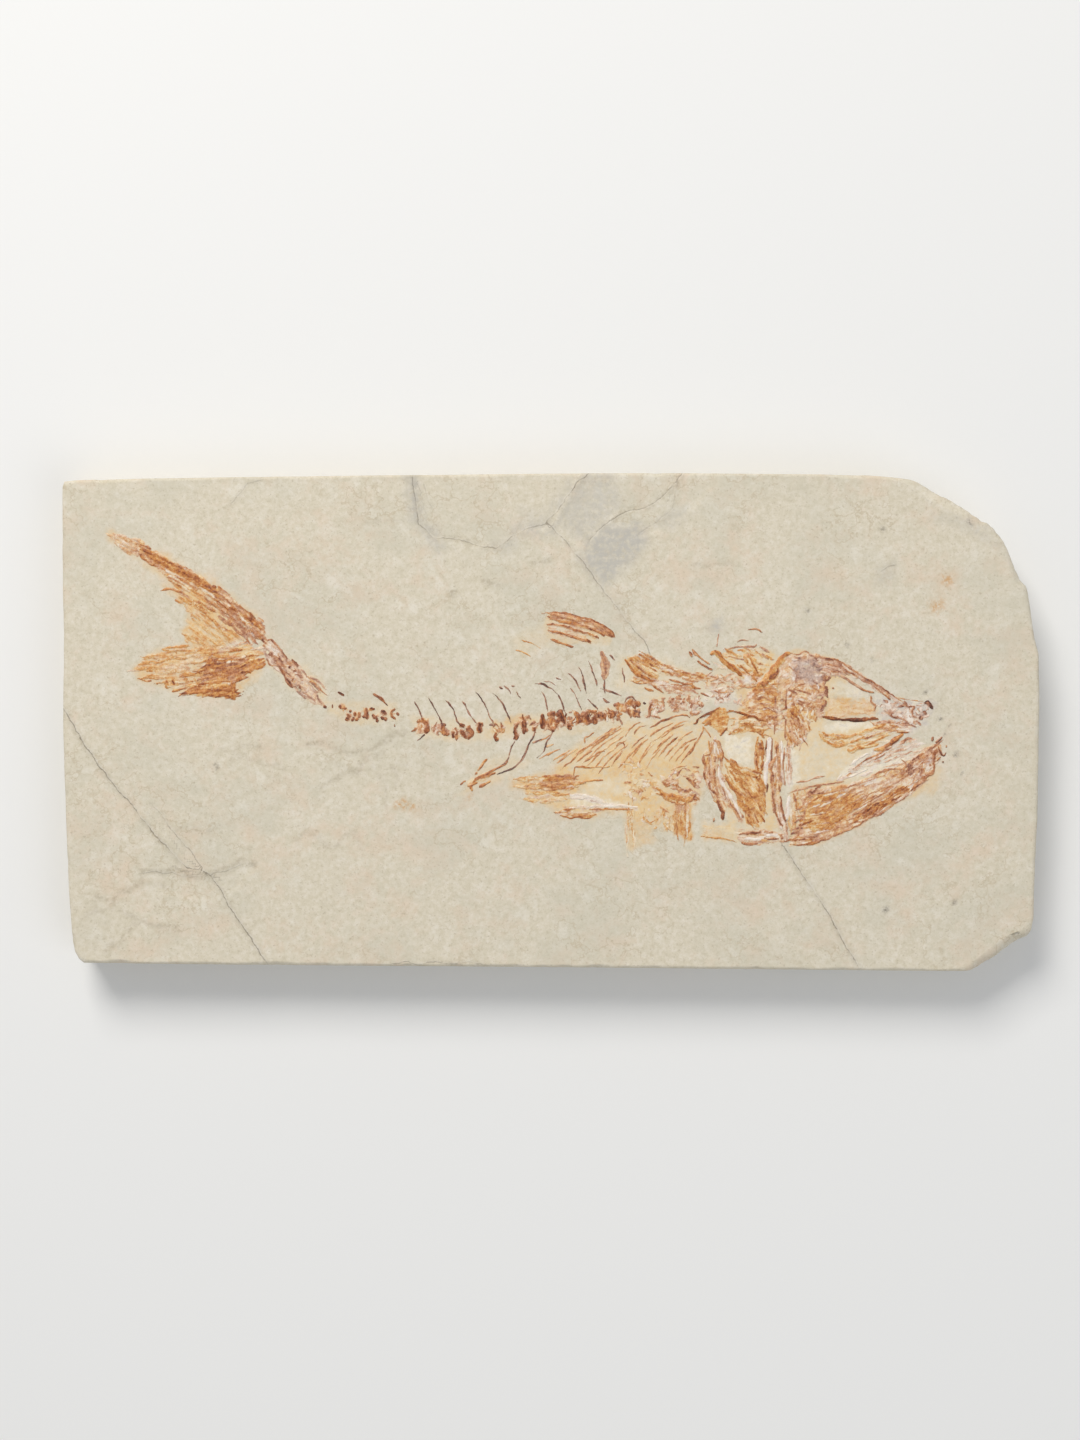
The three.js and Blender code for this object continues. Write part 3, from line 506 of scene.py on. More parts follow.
def slabRim(nx, ny):
    # the outline as an even loop, with the sawn sides' small unevenness and the broken corners' rough line
    sides = {key: readPath(text) for key, text in slab["outline"].items()}
    loop = np.vstack([
        evenly(sides["bottom"], nx)[:-1], evenly(sides["right"], ny)[:-1],
        evenly(sides["top"], nx)[::-1][:-1], evenly(sides["left"], ny)[::-1][:-1],
    ])
    x, y = loop.T
    tangent = np.roll(loop, -3, axis=0) - np.roll(loop, 3, axis=0)
    normal = np.column_stack([-tangent[:, 1], tangent[:, 0]])
    normal = normal / np.hypot(*normal.T)[:, None]  # points into the stone
    upper = ease(70, 78, x) * ease(24, 30, y)
    lower = ease(84, 88, x) * ease(-42.5, -45, y)
    broken = np.clip(upper + lower, 0, 1)
    chip = np.clip(roughNoise(x, y, 4.2, 51), 0, 1) ** 2
    wander = 0.06 + 0.1 * chip + broken * (0.25 + 0.35 * roughNoise(x, y, 2.2, 53))
    return loop + normal * wander[:, None], normal, broken, chip


def buildSlab():
    nx, ny = slab["sheet"]
    rim, inward, broken, chip = slabRim(nx, ny)
    count = len(rim)
    x0, y0 = rim.T
    facet = broken * slab["facet"] * (0.75 + 0.6 * roughNoise(x0, y0, 5, 57))
    inset = slab["arris"] * (0.55 + 0.35 * roughNoise(x0, y0, 2.5, 59) + 0.9 * chip) + np.clip(facet, 0, 3)
    inner = rim + inward * np.clip(inset, 0.25, 3.4)[:, None]
    for _ in range(25):  # evens the inner loop, so that the sheet's rows never cross at the broken corners
        inner = 0.5 * inner + 0.25 * (np.roll(inner, 1, axis=0) + np.roll(inner, -1, axis=0))

    # the sheet's points are spread between the four sides of the inner loop
    bottom = inner[:nx + 1]
    right = inner[nx:nx + ny + 1]
    top = inner[nx + ny:2 * nx + ny + 1][::-1]
    left = np.vstack([inner[2 * nx + ny:], inner[:1]])[::-1]
    u = np.linspace(0, 1, nx + 1)[:, None, None]
    v = np.linspace(0, 1, ny + 1)[None, :, None]
    sheet = ((1 - v) * bottom[:, None] + v * top[:, None] + (1 - u) * left[None] + u * right[None]
             - (1 - u) * (1 - v) * bottom[0] - u * (1 - v) * bottom[-1]
             - (1 - u) * v * top[0] - u * v * top[-1])
    flat = sheet.reshape(-1, 2)
    x, y = flat.T
    rise = surfaceRise(x, y)
    points = [np.column_stack([flat, slab["top"] + rise])]

    grid = np.arange(len(flat)).reshape(nx + 1, ny + 1)
    quads = [np.column_stack([grid[:-1, :-1].ravel(), grid[1:, :-1].ravel(),
                              grid[1:, 1:].ravel(), grid[:-1, 1:].ravel()])]
    loop = np.concatenate([grid[:, 0][:-1], grid[-1, :][:-1], grid[::-1, -1][:-1], grid[0, ::-1][:-1]])

    # rings from the worn edge down the side to the underside, each with its inset and its height
    edgeDrop = 0.35 + 0.45 * np.clip(inset, 0, 2.4)
    rings = []
    for inShare, dropShare in ((0.55, 0.3), (0.12, 0.72), (0.0, 1.0)):
        ring = rim + inward * (inset * inShare)[:, None]
        rings.append((inset * inShare, slab["top"] + surfaceRise(*ring.T) - edgeDrop * dropShare))
    wallTop, wallFoot = slab["top"] - edgeDrop - 0.3, 0.8
    around = np.arange(count) * 0.5  # the loop's points lie about half a millimetre apart
    for k in range(1, slab["wallSteps"] + 1):
        share = k / slab["wallSteps"]
        height = wallTop * (1 - share) + wallFoot * share
        sawMarks = 0.12 + 0.12 * roughNoise(around, height, 3.1, 61)
        fracture = 0.55 + 0.55 * roughNoise(around, height * 1.3, 5.5, 67)
        rings.append((np.clip(sawMarks + broken * fracture, 0, 1.6), height))
    rings += [(far + 0.25 * chip + 0.5 * broken, np.full(count, height)) for far, height in slab["foot"]]
    previous, total = loop, len(flat)
    for far, height in rings:
        points.append(np.column_stack([rim + inward * far[:, None], height]))
        here = total + np.arange(count)
        quads.append(np.column_stack([previous, here, np.roll(here, -1), np.roll(previous, -1)]))
        previous, total = here, total + count

    points, quads = np.vstack(points), np.vstack(quads)
    attributes = paintSlab(points[:, 0], points[:, 1], points[:, 2])
    made = makeMesh("limestone_slab", points, quads, len(quads), attributes, caps=[previous[::-1]])
    made.data.materials.append(limestone)
    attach(made, "root")
    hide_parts("slab")


# Stains of the soft parts, colour only, on the stone round the bones

hazes = [  # outline, tone (lilac 0, milk 0.1, cream 0.2, dark 1), strength, softness of the edge in mm
    ("-5,-13 0,-10 4,-6 10,-3 16,0 22,-0.6 30,1 31,-3 31,-14 29,-18 24,-19 15,-18.6 8,-19.4 2,-18.8 -3,-16",
     0.36, 0.85, 1.6),
    ("43.8,-11 45.2,-11 46.2,-22 44.2,-23.4", 0.42, 0.7, 0.6),
    ("15,-16 20,-17 25,-16 25.2,-22.8 23,-23 21.4,-21.4 19.6,-22.2 18,-20.4 15,-20", 0.36, 0.6, 0.9),
    ("14.8,-17 17,-17 17.2,-24 16.6,-26.6 15.4,-26.2 15,-22", 0.36, 0.45, 0.4),
    ("14,-8 17,-4.6 18.4,-8 22,-10.6 22,-16 18,-16.6 14.6,-15.6", 0.38, 0.45, 0.9),
    ("4,-8 10,-3 18,0.4 30,1 31,-4 26,-7.4 20,-7 16,-4.4 12,-8.6 4,-11", 0.22, 0.5, 1.3),
    ("3,-14.6 7,-14.4 12,-16 17,-17.4 10,-17.8 4,-16.4", 0.06, 0.6, 0.5),
    ("4.4,-11.4 9,-11.2 14.6,-11.8 15,-15 10,-15 5,-13.8", 0.12, 0.55, 1.1),
    ("16.8,-19.6 20.6,-21 20.8,-25.2 17,-25.6", 0.4, 0.55, 0.7),
    ("39,15.4 45,14.8 46.4,12 42,12.4 38,13.4", 0.4, 0.5, 0.7),
    ("14,13 20,13.6 26,11.6 33,11 38,14 45,14.6 46,11 44,8 36,5 30,3.4 20,5 13,7", 0.26, 0.42, 1.2),
    ("-91,39 -88,38.6 -80,34.8 -70,29.6 -62,23 -57.4,17 -64,16.7 -72,22 -77,27.5 -86,34.4 -90,36.6", 0.38,
     0.5, 0.8),
    ("-79.6,28 -72,27 -66,22 -63,17.5 -66,15.6 -73.8,15.6 -75.4,18 -73.6,22 -76.6,25", 0.4, 0.7, 0.8),
    ("-85.6,11.4 -80,15 -70,15.8 -60,15 -59.4,10 -64,5 -76,6 -84,8.4", 0.4, 0.6, 0.8),
    ("-59.3,17 -53,13.6 -46.4,8.4 -45.6,3.4 -49,3.4 -55,8.9 -59.2,12.4", 0.26, 0.5, 0.7),
    ("-45.6,4.4 -36,3.8 -30.8,3.2 -31.2,0 -40,-0.2 -45.6,1.8", 0.3, 0.4, 0.7),
    ("""-28.4,1.4 -24,0.8 -15.6,0.4 -10,-0.2 -2,2 6,2.6 12,3 20,5.4 30,5 30,1 20,-0.6 10,-2 -3,-2.6 -12,-4
     -20,-4 -28,-3""", 0.28, 0.42, 0.7),
    ("-9.5,1.4 -3.5,1.6 -3.5,-0.4 -9.5,-0.6", 0.44, 0.75, 0.5),
    ("-12,0.2 -8,0 -8,-2.4 -12,-2.4", 0.4, 0.5, 0.5),
    ("-19,-14.2 -13,-8.4 -8,-6.4 -4,-8 -11,-12.6 -16,-14.2", 0.32, 0.35, 0.9),
    ("-8.6,-11.6 -1,-10.8 6,-10 9,-11.8 5,-15 -2,-16.8 -5,-16.2 -4,-14.4 -8.4,-13.6", 0.44, 0.65, 0.7),
    ("-8,17 0,21.4 0,16 -6,13.4", 0.26, 0.25, 1.2),
    ("-1.2,22.4 13.2,18.2 11.8,16.2 2,15.4 -1.2,18.2", 0.36, 0.4, 0.5),
    ("38.4,7 46,12.8 50,14.4 56,13.6 60,12 61.6,10 57,3 55,-3 51,-6 46,-4 42,-3 38,2.4", 0.36, 0.7, 0.7),
    ("56.5,1.2 66,1.2 66.3,3 64,4.8 60,4.6 57,4.8", 0.5, 0.95, 0.5),
    ("58,9 62,7 65,5.6 60,5 57,6", 0.1, 0.55, 0.6),
    ("49,-1 55,0.2 67,0.2 67,-4 60,-11 50,-13", 0.24, 0.75, 1.3),
    ("54,-2 66,-0.6 70,-1 68,-4.4 60,-6 55,-5", 0.32, 0.5, 0.7),
    ("49,-25 49,-13.8 58,-12 68,-8.6 78,-4.4 79.4,-8 74,-15 64,-21 56,-24.6", 0.4, 0.6, 0.6),
    ("60,-12.6 60,-9.6 66,-5.4 71,-4 76,-5.4 72,-9 66,-11", 0.06, 0.65, 0.8),
    ("75,-13 79,-9 80.4,-9.6 77.4,-14.6", 0.34, 0.4, 0.9),
    ("31,-2 36,2 44,1 47,-6 47.6,-20 47,-25 38,-25 34,-16 31,-8", 0.28, 0.6, 0.9),
    ("35.6,-3 41.4,-2.8 41.6,-8.8 38.5,-7.8 35.8,-7", 0.1, 0.85, 0.5),
    ("47.4,-4 50.4,-6 50.6,-13 48,-15", 0.1, 0.7, 0.6), ("66,5 74,5 79,3.6 77,-1 72,-3 67,1", 0.03, 0.6, 0.7),
    ("31,-20.5 37,-21.5 38.5,-24.4 30.4,-23.7", 0.38, 0.55, 0.5),
    ("24.9,-16.4 28.5,-16.4 28.7,-24.6 27.2,-24.2 26.4,-23.2 25,-23.4", 0.5, 0.85, 0.35),
    ("31,4 31,6 38,6 38,4", 0.05, 0.5, 0.8), ("55.8,-0.2 67,0.1 66,-1.6 60,-2.2 56.2,-1.6", 0.04, 0.6, 0.5),
]


def paintSlab(x, y, z):
    onTop = ease(slab["top"] - 1.6, slab["top"] - 0.7, z)  # the stains fade out down the worn edge
    haze = np.zeros(x.shape)
    hazeTone = np.full(x.shape, 0.3)
    warpX = x + 0.8 * roughNoise(x, y, 3.0, 71) + 0.35 * roughNoise(x, y, 0.9, 75)
    warpY = y + 0.8 * roughNoise(x, y, 3.0, 73) + 0.35 * roughNoise(x, y, 0.9, 77)
    for outline, tone, strength, soft in hazes:
        cover = strength * ease(-soft, soft, insideBy(readPath(outline), warpX, warpY))
        hazeTone = np.where(haze + cover > 0, (hazeTone * haze * (1 - cover) + tone * cover)
                            / np.maximum(haze * (1 - cover) + cover, 1e-6), hazeTone)
        haze = haze * (1 - cover) + cover
    dirt = np.zeros(x.shape)
    for line, strength in slab["wisps"]:
        distance = alongPath(readPath(line), warpX, warpY)[0] + 0.3 * roughNoise(x, y, 1.7, 91)
        dirt = np.maximum(dirt, 0.6 * strength * ease(0.9, 0.0, distance))
    spots = {kind: np.zeros(x.shape) for kind in slab["specks"]}
    for kind, specks in slab["specks"].items():
        for sx, sy, radius in specks:
            cover = np.exp(-((warpX - sx) ** 2 + (warpY - sy) ** 2) / radius ** 2)
            spots[kind] = np.maximum(spots[kind], cover)
    greyness = 0.8 * spots["grey"]
    for outline, strength in slab["greysAndLedgeShade"]:
        cover = strength * ease(-2.2, 1.4, insideBy(readPath(outline), warpX, warpY))
        greyness = np.maximum(greyness, cover)
    crack = np.full(x.shape, 5.0)  # mm to the nearest line, hairline or painted ledge shadow, signed by its side
    crackAndShadingStrength = np.zeros(x.shape)
    jitterX = x + 0.25 * roughNoise(x, y, 1.6, 81)
    jitterY = y + 0.25 * roughNoise(x, y, 1.6, 83)
    for line, dark in slab["hairlinesAndLedgeShadows"]:
        distance, side, _, _ = alongPath(readPath(line), jitterX, jitterY)
        nearer = distance < np.abs(crack)
        crack = np.where(nearer, distance * side, crack)
        crackAndShadingStrength = np.where(nearer, dark * ease(1.9, 0.9, distance), crackAndShadingStrength)
    return {
        "haze": haze * onTop, "hazeTone": hazeTone, "greyness": greyness * onTop, "dirt": dirt * onTop,
        "rust": spots["rust"] * onTop, "soot": spots["soot"] * onTop,
        "crack": crack, "crackAndShadingStrength": crackAndShadingStrength * onTop,
    }


buildSlab()
print("slab built")


# Bones as low castings on the stone: each piece is one closed sheet whose edge sinks under the upper face

def layOver(field, near, rise, cover, values):
    # where there is no bone yet the new one sets the colours; over bone it covers by its own share
    was = field["rise"][near]
    share = np.where(was > 0, cover, rise > was)
    for key, value in values.items():
        field[key][near] = field[key][near] * (1 - share) + value * share
    field["rise"][near] = np.maximum(was, rise)


def layGrain(field, near, rise, cover, along, across):
    taken = (rise > field["rise"][near]) | (cover > 0.5)
    field["along"][near] = np.where(taken, along, field["along"][near])
    field["across"][near] = np.where(taken, across, field["across"][near])


def skin(outline, tone, contrast, height, wear, **more):
    # a thin plate of bone or fin; its grain is an angle or a guide line
    usual = {"rough": 0.35, "mottle": 0.35, "drift": 0.2, "bleach": 0.0, "grain": 0,
             "fibres": 0, "fibreLength": 1.4, "scatter": 7, "palePart": 0.4}
    return {**usual, "outline": outline, "tone": tone, "contrast": contrast, "height": height, "wear": wear,
            **more}


def rods(width, height, tone, paths, **more):
    # rays, ribs or struts of one width: paths stand in one text, with a bar between them
    usual = {"rough": 0.14, "tip": 5, "wear": 0.42, "bleach": 0.0}
    return {**usual, "width": width, "height": height, "tone": tone, "paths": paths.split("|"), **more}


def stain(at, radius, strength, soft, **shades):
    # colour only, on bone that is already there: a spot, a line with a radius, or an outline without
    return {"at": at, "radius": radius, "strength": strength, "soft": soft, **shades}


def grainOf(plate, x, y):
    # places along and across a plate's grain
    if isinstance(plate["grain"], str):
        distance, side, along, _ = alongPath(smoothPath(readPath(plate["grain"])), x, y)
        return along, distance * side
    c, s = np.cos(np.radians(plate["grain"])), np.sin(np.radians(plate["grain"]))
    return x * c + y * s, y * c - x * s


def paintSkin(field, plate, x, y, seed):
    wobble = plate["rough"]
    edge = insideBy(readPath(plate["outline"]), x + wobble * roughNoise(x, y, 1.5, seed),
                    y + wobble * roughNoise(x, y, 1.5, seed + 3))
    along, across = grainOf(plate, x, y)
    streak = (0.55 * cloudNoise(along / 5, across / 0.7, 1, seed + 7)
              + 0.45 * cloudNoise(along / 2.2, across / 0.36, 1, seed + 9))
    streak = (1 - plate["mottle"]) * streak + plate["mottle"] * 1.3 * roughNoise(x, y, 1.5, seed + 21)
    worn = plate["wear"] * 2.2 * np.clip(streak + 0.1, 0, 1)
    rise = plate["height"] * np.clip(edge / 0.45, -6, 1) - worn
    cover = ease(-0.03, 0.05, rise)
    drift = plate["drift"]
    drifting = drift * roughNoise(x, y, 4.2, seed + 41)
    values = {"tone": plate["tone"] + plate["contrast"] * streak * 1.5 + drifting,
              "bleach": plate["bleach"] + 1.6 * drift * np.clip(roughNoise(x, y, 2.3, seed + 47) - 0.15, 0, 1),
              "rosy": plate.get("rosy", field["mainRosy"]) + 0.55 * cloudNoise(x, y, 3.1, seed + 31)}
    layGrain(field, slice(None), rise, cover, along, across)
    layOver(field, slice(None), rise, cover, values)


def paintBone(field, text, group, x, y, seed):
    # one ray, rib or strut: a rounded ridge along a line, tapering at its tips
    path = smoothPath(readPath(text))
    width, height = group["width"], group["height"]
    low, high = path.min(axis=0) - width - 1.2, path.max(axis=0) + width + 1.2
    near = (x > low[0]) & (x < high[0]) & (y > low[1]) & (y < high[1])
    nx, ny = x[near], y[near]
    wobble = group["rough"]
    distance, side, along, total = alongPath(
        path, nx + wobble * roughNoise(nx, ny, 0.9, seed), ny + wobble * roughNoise(nx, ny, 0.9, seed + 3))
    taper = np.clip(1 - np.abs(2 * along / total - 1) ** group["tip"], 0, 1) ** 0.5
    thick = 1 + 0.42 * cloudNoise(along, along * 0, 1.1, seed + 5)
    half = np.maximum(width / 2 * taper * thick, 0.02)
    worn = group["wear"] * np.clip(cloudNoise(along, along * 0, 1.6, seed + 9), 0, 1)
    rise = height * (1 - worn - np.minimum((distance / half) ** 2, 6))
    cover = ease(0.0, 0.75, rise / height)
    values = {"tone": group["tone"] + 0.24 * cloudNoise(along, distance * side * 4, 1.4, seed + 13),
              "bleach": group["bleach"], "rosy": group.get("rosy", field["mainRosy"])}
    ownGrain = along + 17.0 * (seed % 97)  # no two bones show the same stretch of fibres
    layGrain(field, near, rise, cover, ownGrain, distance * side)
    layOver(field, near, rise, cover, values)


def fibresOf(plate, mainRosy, seed):
    # short rods scattered over a plate along its grain, some dark, some bleached
    random = np.random.default_rng(seed)
    outline = readPath(plate["outline"])
    guide = smoothPath(readPath(plate["grain"])) if isinstance(plate["grain"], str) else None
    made = []
    while len(made) < plate["fibres"]:
        spot = random.uniform(outline.min(axis=0), outline.max(axis=0))
        if insideBy(outline, spot[:1], spot[1:])[0] < 0.1:
            continue
        if guide is None:
            angle = np.radians(plate["grain"])
        else:
            nearest = np.argmin(np.hypot(*(guide[:-1] - spot).T))
            angle = np.arctan2(*(guide[nearest + 1] - guide[nearest])[::-1])
        angle += np.radians(plate["scatter"]) * random.uniform(-1, 1)
        reach = random.uniform(0.5, 1.7) * plate["fibreLength"] * np.array([np.cos(angle), np.sin(angle)])
        bend = 0.12 * random.uniform(-1, 1) * np.array([-reach[1], reach[0]])
        path = writePath([spot - reach, spot + bend, spot + reach])
        pale = random.random() < plate["palePart"]
        width, height = random.uniform(0.3, 0.75), plate["height"] + random.uniform(0.02, 0.1)
        tone = random.uniform(0.1, 0.34) if pale else plate["tone"] + random.uniform(0.0, 0.3)
        bleach = random.uniform(0.1, 0.7) if pale else 0.0
        rosy = plate.get("rosy", mainRosy) + random.uniform(-0.4, 0.5)
        made.append(rods(width, height, tone, path, tip=2, rough=0.25, bleach=bleach, rosy=rosy))
    return made


def paintStain(field, mark, x, y, seed):
    points, soft = readPath(mark["at"]), mark["soft"]
    if len(points) == 1:
        distance = np.hypot(x - points[0][0], y - points[0][1]) - mark["radius"]
    elif mark["radius"]:
        distance = alongPath(smoothPath(points), x, y)[0] - mark["radius"]
    else:
        distance = -insideBy(points, x, y)
    distance = distance + 0.5 * soft * roughNoise(x, y, 1.1, seed)
    cover = mark["strength"] * ease(soft, -soft, distance)
    for key in ("tone", "bleach", "rosy"):
        if key in mark:
            field[key] = field[key] * (1 - cover) + mark[key] * cover


def keepSolid(cells):
    # fills one cell wherever two kept cells would touch only at a corner
    for _ in range(6):
        a, b, c, d = cells[:-1, :-1], cells[1:, :-1], cells[:-1, 1:], cells[1:, 1:]
        first, second = a & d & ~b & ~c, b & c & ~a & ~d
        if not (first.any() or second.any()):
            break
        cells[1:, :-1] |= first
        cells[:-1, :-1] |= second
    return cells


def castSheet(name, xs, ys, field):
    # the closed solid of a height field, where it comes near the stone's face
    skirt, sink = 0.14, 0.32  # mm under the stone's face: the sheet's edge, and its underside
    rise = field["rise"]
    kept = rise > -skirt
    cells = keepSolid(kept[:-1, :-1] | kept[1:, :-1] | kept[:-1, 1:] | kept[1:, 1:])
    used = np.zeros(rise.shape, bool)
    for di in (0, 1):
        for dj in (0, 1):
            used[di:used.shape[0] - 1 + di, dj:used.shape[1] - 1 + dj] |= cells
    count = int(used.sum())
    number = np.full(rise.shape, -1)
    number[used] = np.arange(count)
    gx, gy = np.meshgrid(xs, ys, indexing="ij")
    x, y = gx[used], gy[used]
    face = slab["top"] + surfaceRise(x, y)
    upper = np.column_stack([x, y, face + np.maximum(rise[used], -skirt)])
    lower = np.column_stack([x, y, face - sink])
    i, j = np.nonzero(cells)
    a, b, c, d = number[i, j], number[i + 1, j], number[i + 1, j + 1], number[i, j + 1]
    top = np.column_stack([a, b, c, d])
    bottom = np.column_stack([d, c, b, a]) + count
    padded = np.pad(cells, 1)
    walls = []
    for di, dj, start, end in ((0, -1, (0, 0), (1, 0)), (1, 0, (1, 0), (1, 1)),
                               (0, 1, (1, 1), (0, 1)), (-1, 0, (0, 1), (0, 0))):
        outer = cells & ~padded[1 + di:padded.shape[0] - 1 + di, 1 + dj:padded.shape[1] - 1 + dj]
        wi, wj = np.nonzero(outer)
        p, q = number[wi + start[0], wj + start[1]], number[wi + end[0], wj + end[1]]
        walls.append(np.column_stack([p, p + count, q + count, q]))
    quads = np.vstack([top, bottom] + walls)
    grain = np.column_stack([field["along"][used], field["across"][used], np.zeros(count)])
    attributes = {key: np.tile(field[key][used], 2) for key in ("tone", "bleach", "rosy", "rise")}
    attributes["grain"] = np.vstack([grain, grain])
    stone = paintSlab(x, y, np.full(count, slab["top"]))
    attributes.update({key: np.tile(values, 2) for key, values in stone.items()})
    return makeMesh(name, np.vstack([upper, lower]), quads, len(top), attributes)


bones = []


def layBones(name, design, seed):
    step = design.get("step", 0.17)  # mm between the points of the sheet
    texts = [plate["outline"] for plate in design.get("skins", [])]
    texts += [text for group in design.get("bones", []) for text in group["paths"]]
    every = np.vstack([readPath(text) for text in texts])
    low, high = every.min(axis=0) - 1.5, every.max(axis=0) + 1.5
    xs, ys = np.arange(low[0], high[0], step), np.arange(low[1], high[1], step)
    x, y = np.meshgrid(xs, ys, indexing="ij")
    field = {"rise": np.full(x.shape, -0.4), "tone": np.full(x.shape, 0.4), "bleach": np.zeros(x.shape),
             "rosy": np.zeros(x.shape), "along": x.copy(), "across": y.copy(),
             "mainRosy": design.get("rosy", 0.0)}
    for k, plate in enumerate(design.get("skins", [])):
        paintSkin(field, plate, x, y, seed + 10 * k)
        for m, group in enumerate(fibresOf(plate, field["mainRosy"], seed + k)):
            paintBone(field, group["paths"][0], group, x, y, seed + 500 + 10 * m)
    for k, group in enumerate(design.get("bones", [])):
        for m, text in enumerate(group["paths"]):
            paintBone(field, text, group, x, y, seed + 100 + 10 * k + m)
    for k, mark in enumerate(design.get("stains", [])):
        paintStain(field, mark, x, y, seed + 200 + k)
    made = castSheet(name, xs, ys, field)
    bones.append(made)
    made.data.materials.append(boneMaterials[design["slot"]])
    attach(made, "root")
    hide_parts(*design["nodes"])


def fanOf(first, last, count):
    # evenly spread lines from the first to the last
    a, b = readPath(first), readPath(last)
    return [writePath(a + (b - a) * t) for t in np.linspace(0, 1, count)]


# The tail fin: two lobes of fine rays, the lower one broader and browner

